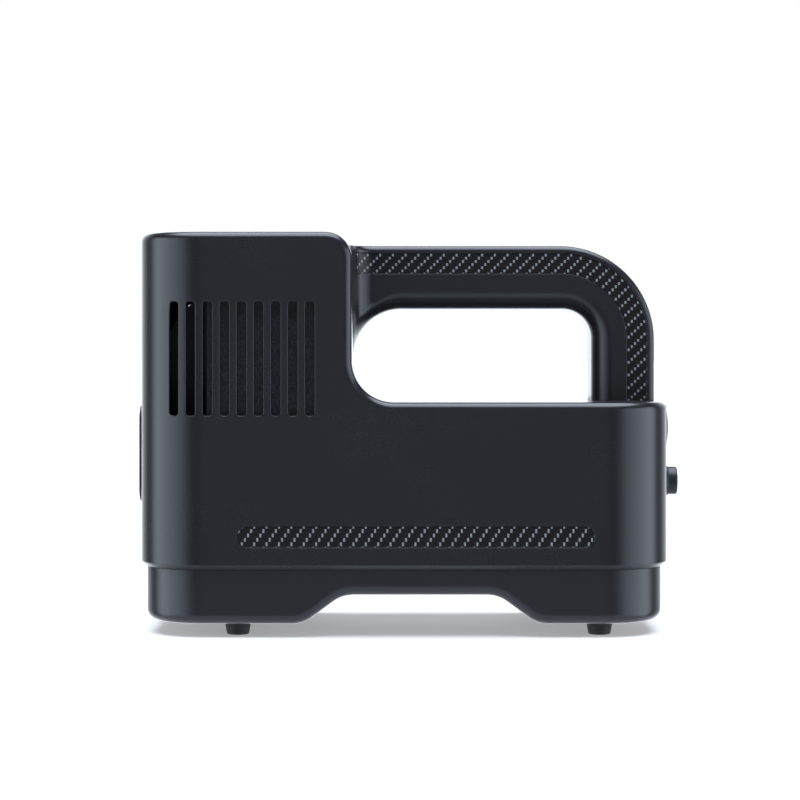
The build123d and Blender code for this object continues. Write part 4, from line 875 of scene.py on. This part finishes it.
class HandleLine:
    # Outer and inner edge of the handle seen from the front, and its half width, at stations along it:
    # level, then turned round the bend, then upright.

    def __init__(self, level=60, bend=40, leg=16, start=None):
        g = grip
        outer = np.array([g["legOut"] - g["outerBend"], g["top"] - g["outerBend"]])
        inner = np.array([g["legIn"] - g["innerBend"], g["under"] - g["innerBend"]])
        first = towerRight - 2.0 if start is None else start
        near = towerRight + g["flare"] + 1
        x = np.append(np.linspace(first, near, level // 2)[:-1], np.linspace(near, outer[0], level // 2)[:-1])
        a = np.radians(np.linspace(0, 90, bend))[:, None]
        turn = np.concatenate([np.sin(a), np.cos(a)], 1)
        z = np.linspace(inner[1], deck - g["bury"], leg)[1:]
        zOut = np.linspace(outer[1], deck - g["bury"], leg)[1:]
        rise = np.clip(towerRight + g["flare"] - x, 0, g["flare"])
        low = g["under"] - g["flare"] + np.sqrt(g["flare"]**2 - rise**2)
        self.outer = np.vstack([np.stack([x, np.full_like(x, g["top"])], -1), outer + g["outerBend"] * turn,
                                np.stack([np.full_like(z, g["legOut"]), zOut], -1)])
        self.inner = np.vstack([np.stack([x, low], -1), inner + g["innerBend"] * turn,
                                np.stack([np.full_like(z, g["legIn"]), z], -1)])
        across = self.inner - self.outer
        self.depth = np.linalg.norm(across, axis=1)
        self.down = across / self.depth[:, None]
        self.half = self.widthAt(self.outer[:, 0])
        self.flareShare = np.clip(rise / g["flare"], 0, 1)
        self.flareShare = np.append(self.flareShare, np.zeros(len(self.depth) - len(rise)))

    @staticmethod
    def widthAt(x):
        r = grip["planFlare"]
        reach = np.clip(towerRight + r - x, 0, r)
        return grip["half"] + r - np.sqrt(r**2 - reach**2)

    def place(self, n, h):
        # Points at n and h, arrays of stations by section points, on the front half.
        flat = self.outer[:, None] + self.down[:, None] * n[..., None]
        return np.stack([flat[..., 0], -h, flat[..., 1]], -1)


def handleSection(line):
    # Section from the middle plane over the outer edge, down the side with the strip's recess, round the
    # grip edge and back to the middle plane.
    g = grip
    one = np.ones(len(line.depth))
    t, half = line.depth, line.half
    outline = []

    def put(n, h):
        outline.append((n * one, h * one))
    put(g["gap"], 0.02)
    put(0.06, 0.08)
    put(0, g["gap"])
    for share in np.linspace(0.15, 1, 6):
        put(0, (half - g["edge"]) * share)
    for a in np.linspace(0, np.pi / 2, 8)[1:]:
        put(g["edge"] * (1 - math.cos(a)), half - g["edge"] * (1 - math.sin(a)))
    recess = np.where(line.outer[:, 0] < towerRight + g["stripStart"], 0.0, 1.0)
    e, d = g["stripEdge"], g["stripDepth"]
    for a in np.linspace(0, np.pi / 2, 4):
        put(g["stripFrom"] - e * (1 - math.sin(a)), half - e * (1 - math.cos(a)) * recess)
    for n in np.linspace(g["stripFrom"], g["stripTo"], 5):
        put(n, half - d * recess)
    for a in np.linspace(np.pi / 2, 0, 4):
        put(g["stripTo"] + e * (1 - math.sin(a)), half - e * (1 - math.cos(a)) * recess)
    r = g["gripEdge"] * (1 - 0.25 * line.flareShare)
    flat = t - r - g["stripTo"] - e
    for share in (0.35, 0.7):
        put(g["stripTo"] + e + flat * share, half)
    for a in np.linspace(0, np.pi / 2, 12):
        put(t - r * (1 - math.sin(a)), half - r * (1 - math.cos(a)))
    for share in np.linspace(0.8, 0, 4)[:-1]:
        put(t, g["gap"] + (half - r - g["gap"]) * share)
    put(t, g["gap"])
    put(t - 0.06, 0.08)
    put(t - g["gap"], 0.02)
    n, h = (np.stack(values, 1) for values in zip(*outline))
    return n, h


for side in ("front", "rear"):
    line = HandleLine()
    section = line.place(*handleSection(line))
    skin = Skin().grid(section, loop=True).fan(section[0]).fan(section[-1])
    skin.piece(f"grip_{side}", "handle_plastic", "case", f"handle_{side}", flip=side == "rear")
print("handle ready")


# Woven strips: thin plates whose face has the relief of the weave.

strip = dict(under=0.2, thickness=0.6, gap=0.1, relief=0.07, edge=0.12, edgeShare=0.07)


def weaveRelief(u, v, sizes):
    # Height of the weave, 0 to 1: each tow is a low arch across its row, and the crossing tows stand up as
    # short pillows, one cell in four, stepping one cell a row.
    row = np.floor(v / sizes[1])
    up = v / sizes[1] - row - 0.5
    cell = np.mod(u / sizes[0] - row, 4.0) - 0.5
    arch = 1 - (2 * np.abs(up))**3
    crossing = np.clip(1 - (np.abs(cell) / 0.42)**3, 0, 1) * np.clip(1 - (np.abs(up) / 0.5)**4, 0, 1)
    dip = np.clip(1 - np.abs(np.abs(cell) - 0.5) / 0.16, 0, 1)
    return np.clip(0.55 * arch - 0.5 * dip + crossing, 0, 1)


def makeStrip(name, node, front, back, flat, sizes, material, flip):
    # front and back are arrays of points, along by across; flat is the same place in mm on the weave.
    relief = weaveRelief(flat[..., 0], flat[..., 1], sizes)
    fade = np.ones(front.shape[:2])
    fade[[0, -1]], fade[:, [0, -1]] = 0, 0
    front = front.copy()
    front[..., 1] -= strip["relief"] * (relief - 0.6) * fade
    skin = Skin().grid(front).grid(back)
    rings = [np.concatenate([face[:, 0], face[-1, 1:], face[-2::-1, -1], face[0, -2:0:-1]])
             for face in (front, back)]
    skin.grid(np.stack(rings), loop=True)
    made = skin.piece(name, "weave_strip", "case", node, sharp=50, weld=0.001, flip=flip, material=material)
    # the weave's own map: X along the strip as it lies, and height
    corners = np.empty(len(made.data.loops), int)
    made.data.loops.foreach_get("vertex_index", corners)
    spots = np.empty(len(made.data.vertices) * 3)
    made.data.vertices.foreach_get("co", spots)
    spots = spots.reshape(-1, 3) / mm
    layer = made.data.uv_layers.new(name="weave")
    layer.data.foreach_set("uv", unfoldX(spots[corners])[:, :2].ravel())
    return made


def unfoldX(points):
    # X and Z, with X measured along the surface where the handle flares out to the tower.
    x, z = points[:, 0], points[:, 2]
    r = grip["planFlare"]
    reach = np.clip(towerRight + r - x, 0, r * 0.999)
    onFlare = (reach > 0) & (z > deck + 20)
    return np.stack([np.where(onFlare, towerRight + r - r * np.arcsin(reach / r), x), z], -1)


def edgeDrop(count):
    # How far the face falls at each point across: a quarter round over the last part of the half width.
    share = np.clip((np.abs(np.linspace(-1, 1, count)) - 1 + strip["edgeShare"]) / strip["edgeShare"], 0, 1)
    return strip["edge"] * (1 - np.sqrt(1 - share**2))


for side in ("front", "rear"):
    half = stripSize / 2 - strip["gap"]
    radius = half[1]
    x = np.linspace(-half[0], half[0], 440)
    over = np.clip(np.abs(x) - (half[0] - radius), 0, radius)
    tall = np.sqrt(np.maximum(radius**2 - over**2, 0.0009))
    across = np.linspace(-1, 1, 29)
    px = stripMiddle[0] + x[:, None] + 0 * across
    pz = stripMiddle[1] + tall[:, None] * across
    y = caseLow[1] + strip["under"] + edgeDrop(29) + 0 * px
    front = np.stack([px, y, pz], -1)
    back = np.stack([px, 0 * px + caseLow[1] + strip["under"] + strip["thickness"], pz], -1)
    makeStrip(f"weave_side_{side}", f"{side}_side_strip", front, back, np.stack([px, pz], -1),
              weave["side"], finishes["weave_strip"], side == "rear")

    line = HandleLine(level=330, bend=160, leg=80, start=towerRight + grip["stripStart"] + 0.05)
    low, high = grip["stripFrom"] + strip["gap"], grip["stripTo"] - strip["gap"]
    n = np.linspace(low, high, 31)[None] + 0 * line.depth[:, None]
    face = line.half[:, None] - strip["under"] + 0 * n
    front, back = line.place(n, face - edgeDrop(31)), line.place(n, face - strip["thickness"])
    unfolded = unfoldX(front.reshape(-1, 3)).reshape(*n.shape, 2)
    makeStrip(f"weave_handle_{side}", f"{side}_handle_strip", front, back, unfolded,
              weave["handle"], handleWeave, side == "rear")
print("strips ready")


# Outlet plate: a rounded square with a grooved ring and a funnel into the bore.

outlet = dict(plate=34.2, radius=5.5, edge=0.6, bore=10.0, mouth=11.3, funnel=1.3, tube=12.0, tubeLength=9.0,
              groove=(14.2, 13.0), grooveDepth=0.3, grooveEdge=0.12, dimple=1.1, dimplePlace=13.4)


def makeOutlet():
    o, height = outlet, case["outlet"][0]
    front, back = corner("outlet_flange", 0)[0], caseLow[0]
    skin = Skin()

    def at(loop, x):
        return np.column_stack([np.full(len(loop), x), loop[:, 0], loop[:, 1] + height])

    def square(grow):
        return roundLoop(o["plate"], o["plate"], o["radius"], grow, 8, (6, 6))

    def ring(radius):
        return circleLoop(radius, 72)
    turn = edgeTurn(o["edge"], 6)[::-1]
    edges = [at(square(-out), front + deep) for out, deep in turn]
    skin.grid(np.stack([at(square(0), back), *edges]), loop=True)
    corners = [np.array([sy, sz]) * o["dimplePlace"] for sy in (-1, 1) for sz in (-1, 1)]
    dimples = [place + circleLoop(o["dimple"], 20) for place in corners]
    for place, loop in zip(corners, dimples):
        low = place + circleLoop(o["dimple"] * 0.7, 20)
        skin.grid(np.stack([at(loop, front), at(low, front + 0.35)]), loop=True).fan(at(low, front + 0.35))
    flat, faces = fillRegion(square(-o["edge"]), [ring(o["groove"][0]), *dimples])
    skin.add(at(flat, front), faces)
    outer, inner = o["groove"]
    soft, deep = o["grooveEdge"], o["grooveDepth"]
    profile = [(outer, 0), (outer - soft, soft * 0.4), (outer - soft * 1.4, deep), (inner + soft * 1.4, deep),
               (inner + soft, soft * 0.4), (inner, 0), (o["mouth"] + 0.3, 0), (o["mouth"], 0.12)]
    for a in np.linspace(0, np.pi / 2, 6):
        profile.append((o["bore"] + (o["mouth"] - o["bore"]) * (1 - math.sin(a)),
                        0.12 + o["funnel"] * (1 - math.cos(a))))
    end = back + o["tubeLength"] - front
    profile += [(o["bore"], end - 0.2), (o["bore"] + 0.2, end), (o["tube"] - 0.3, end),
                (o["tube"], end - 0.3), (o["tube"], back - front)]
    skin.grid(np.stack([at(ring(r), front + x) for r, x in profile]), loop=True)
    flat, faces = fillRegion(square(0), [ring(o["tube"])])
    skin.add(at(flat, back), faces)
    skin.piece("outlet_plate", "outlet_plastic", "case", "outlet_flange", sharp=40)


makeOutlet()
print("outlet ready")


# Power button: a threaded sleeve with a tapered collar, and a cap with a shallow dish and a fine rim.

button = dict(radius=5.0, dish=0.35, rim=0.7, collar=(6.15, 5.45), sleeve=5.9, thread=0.28, pitch=1.25,
              bore=5.1, stem=4.6, flat=0.5)


def makeButton():
    b, height = button, case["button"][0]
    back, front = corner("button_cap", 0)[0], corner("button_cap", 1)[0]
    length, r = front - back, b["radius"]
    profile = [(0, 0), (b["stem"] - 0.3, 0), (b["stem"], 0.3), (b["stem"], 1.2), (r, 1.6)]
    profile += [(r, length * share) for share in (0.4, 0.6, 0.8)]
    for a in np.linspace(0, np.pi / 2, 7):
        profile.append((r - b["rim"] * (1 - math.cos(a)), length - b["rim"] * (1 - math.sin(a))))
    inside = r - b["rim"] - 0.25
    for share in (1, 0.92, 0.75, 0.55, 0.35, 0.15, 0):      # dish: depth grows as 1 - share squared
        profile.append((inside * share, length - b["dish"] * (1 - share**2)))
    turned(Skin(), profile, (back, 0, height), (1, 0, 0), 64).piece(
        "button", "button_plastic", "power_button", "button_cap", sharp=40)

    start, end = corner("button_bezel", 0)[0], corner("button_bezel", 1)[0]
    wide, narrow = b["collar"]
    seat = caseHigh[0] - start
    profile = [(b["bore"], 0), (b["sleeve"] - b["thread"], 0)]
    for turn in range(int((seat - 2.6) / b["pitch"])):
        x = 0.4 + turn * b["pitch"]
        profile += [(b["sleeve"] - b["thread"], x), (b["sleeve"], x + b["pitch"] * 0.5),
                    (b["sleeve"] - b["thread"], x + b["pitch"] * 0.95)]
    profile += [(b["sleeve"], seat - 2.4), (b["sleeve"], seat), (wide, seat), (wide, seat + b["flat"])]
    reach = end - start - seat
    for a in np.linspace(0, np.pi / 2, 6):
        profile.append((narrow + 0.25 * math.cos(a) - 0.25, seat + reach - 0.3 * (1 - math.sin(a))))
    profile += [(b["bore"] + 0.12, seat + reach), (b["bore"], seat + reach - 0.15)]
    profile.append(profile[0])
    turned(Skin(), profile, (start, 0, height), (1, 0, 0), 64).piece(
        "button_collar", "button_plastic", "case", "button_bezel", sharp=40)


makeButton()
print("button ready")
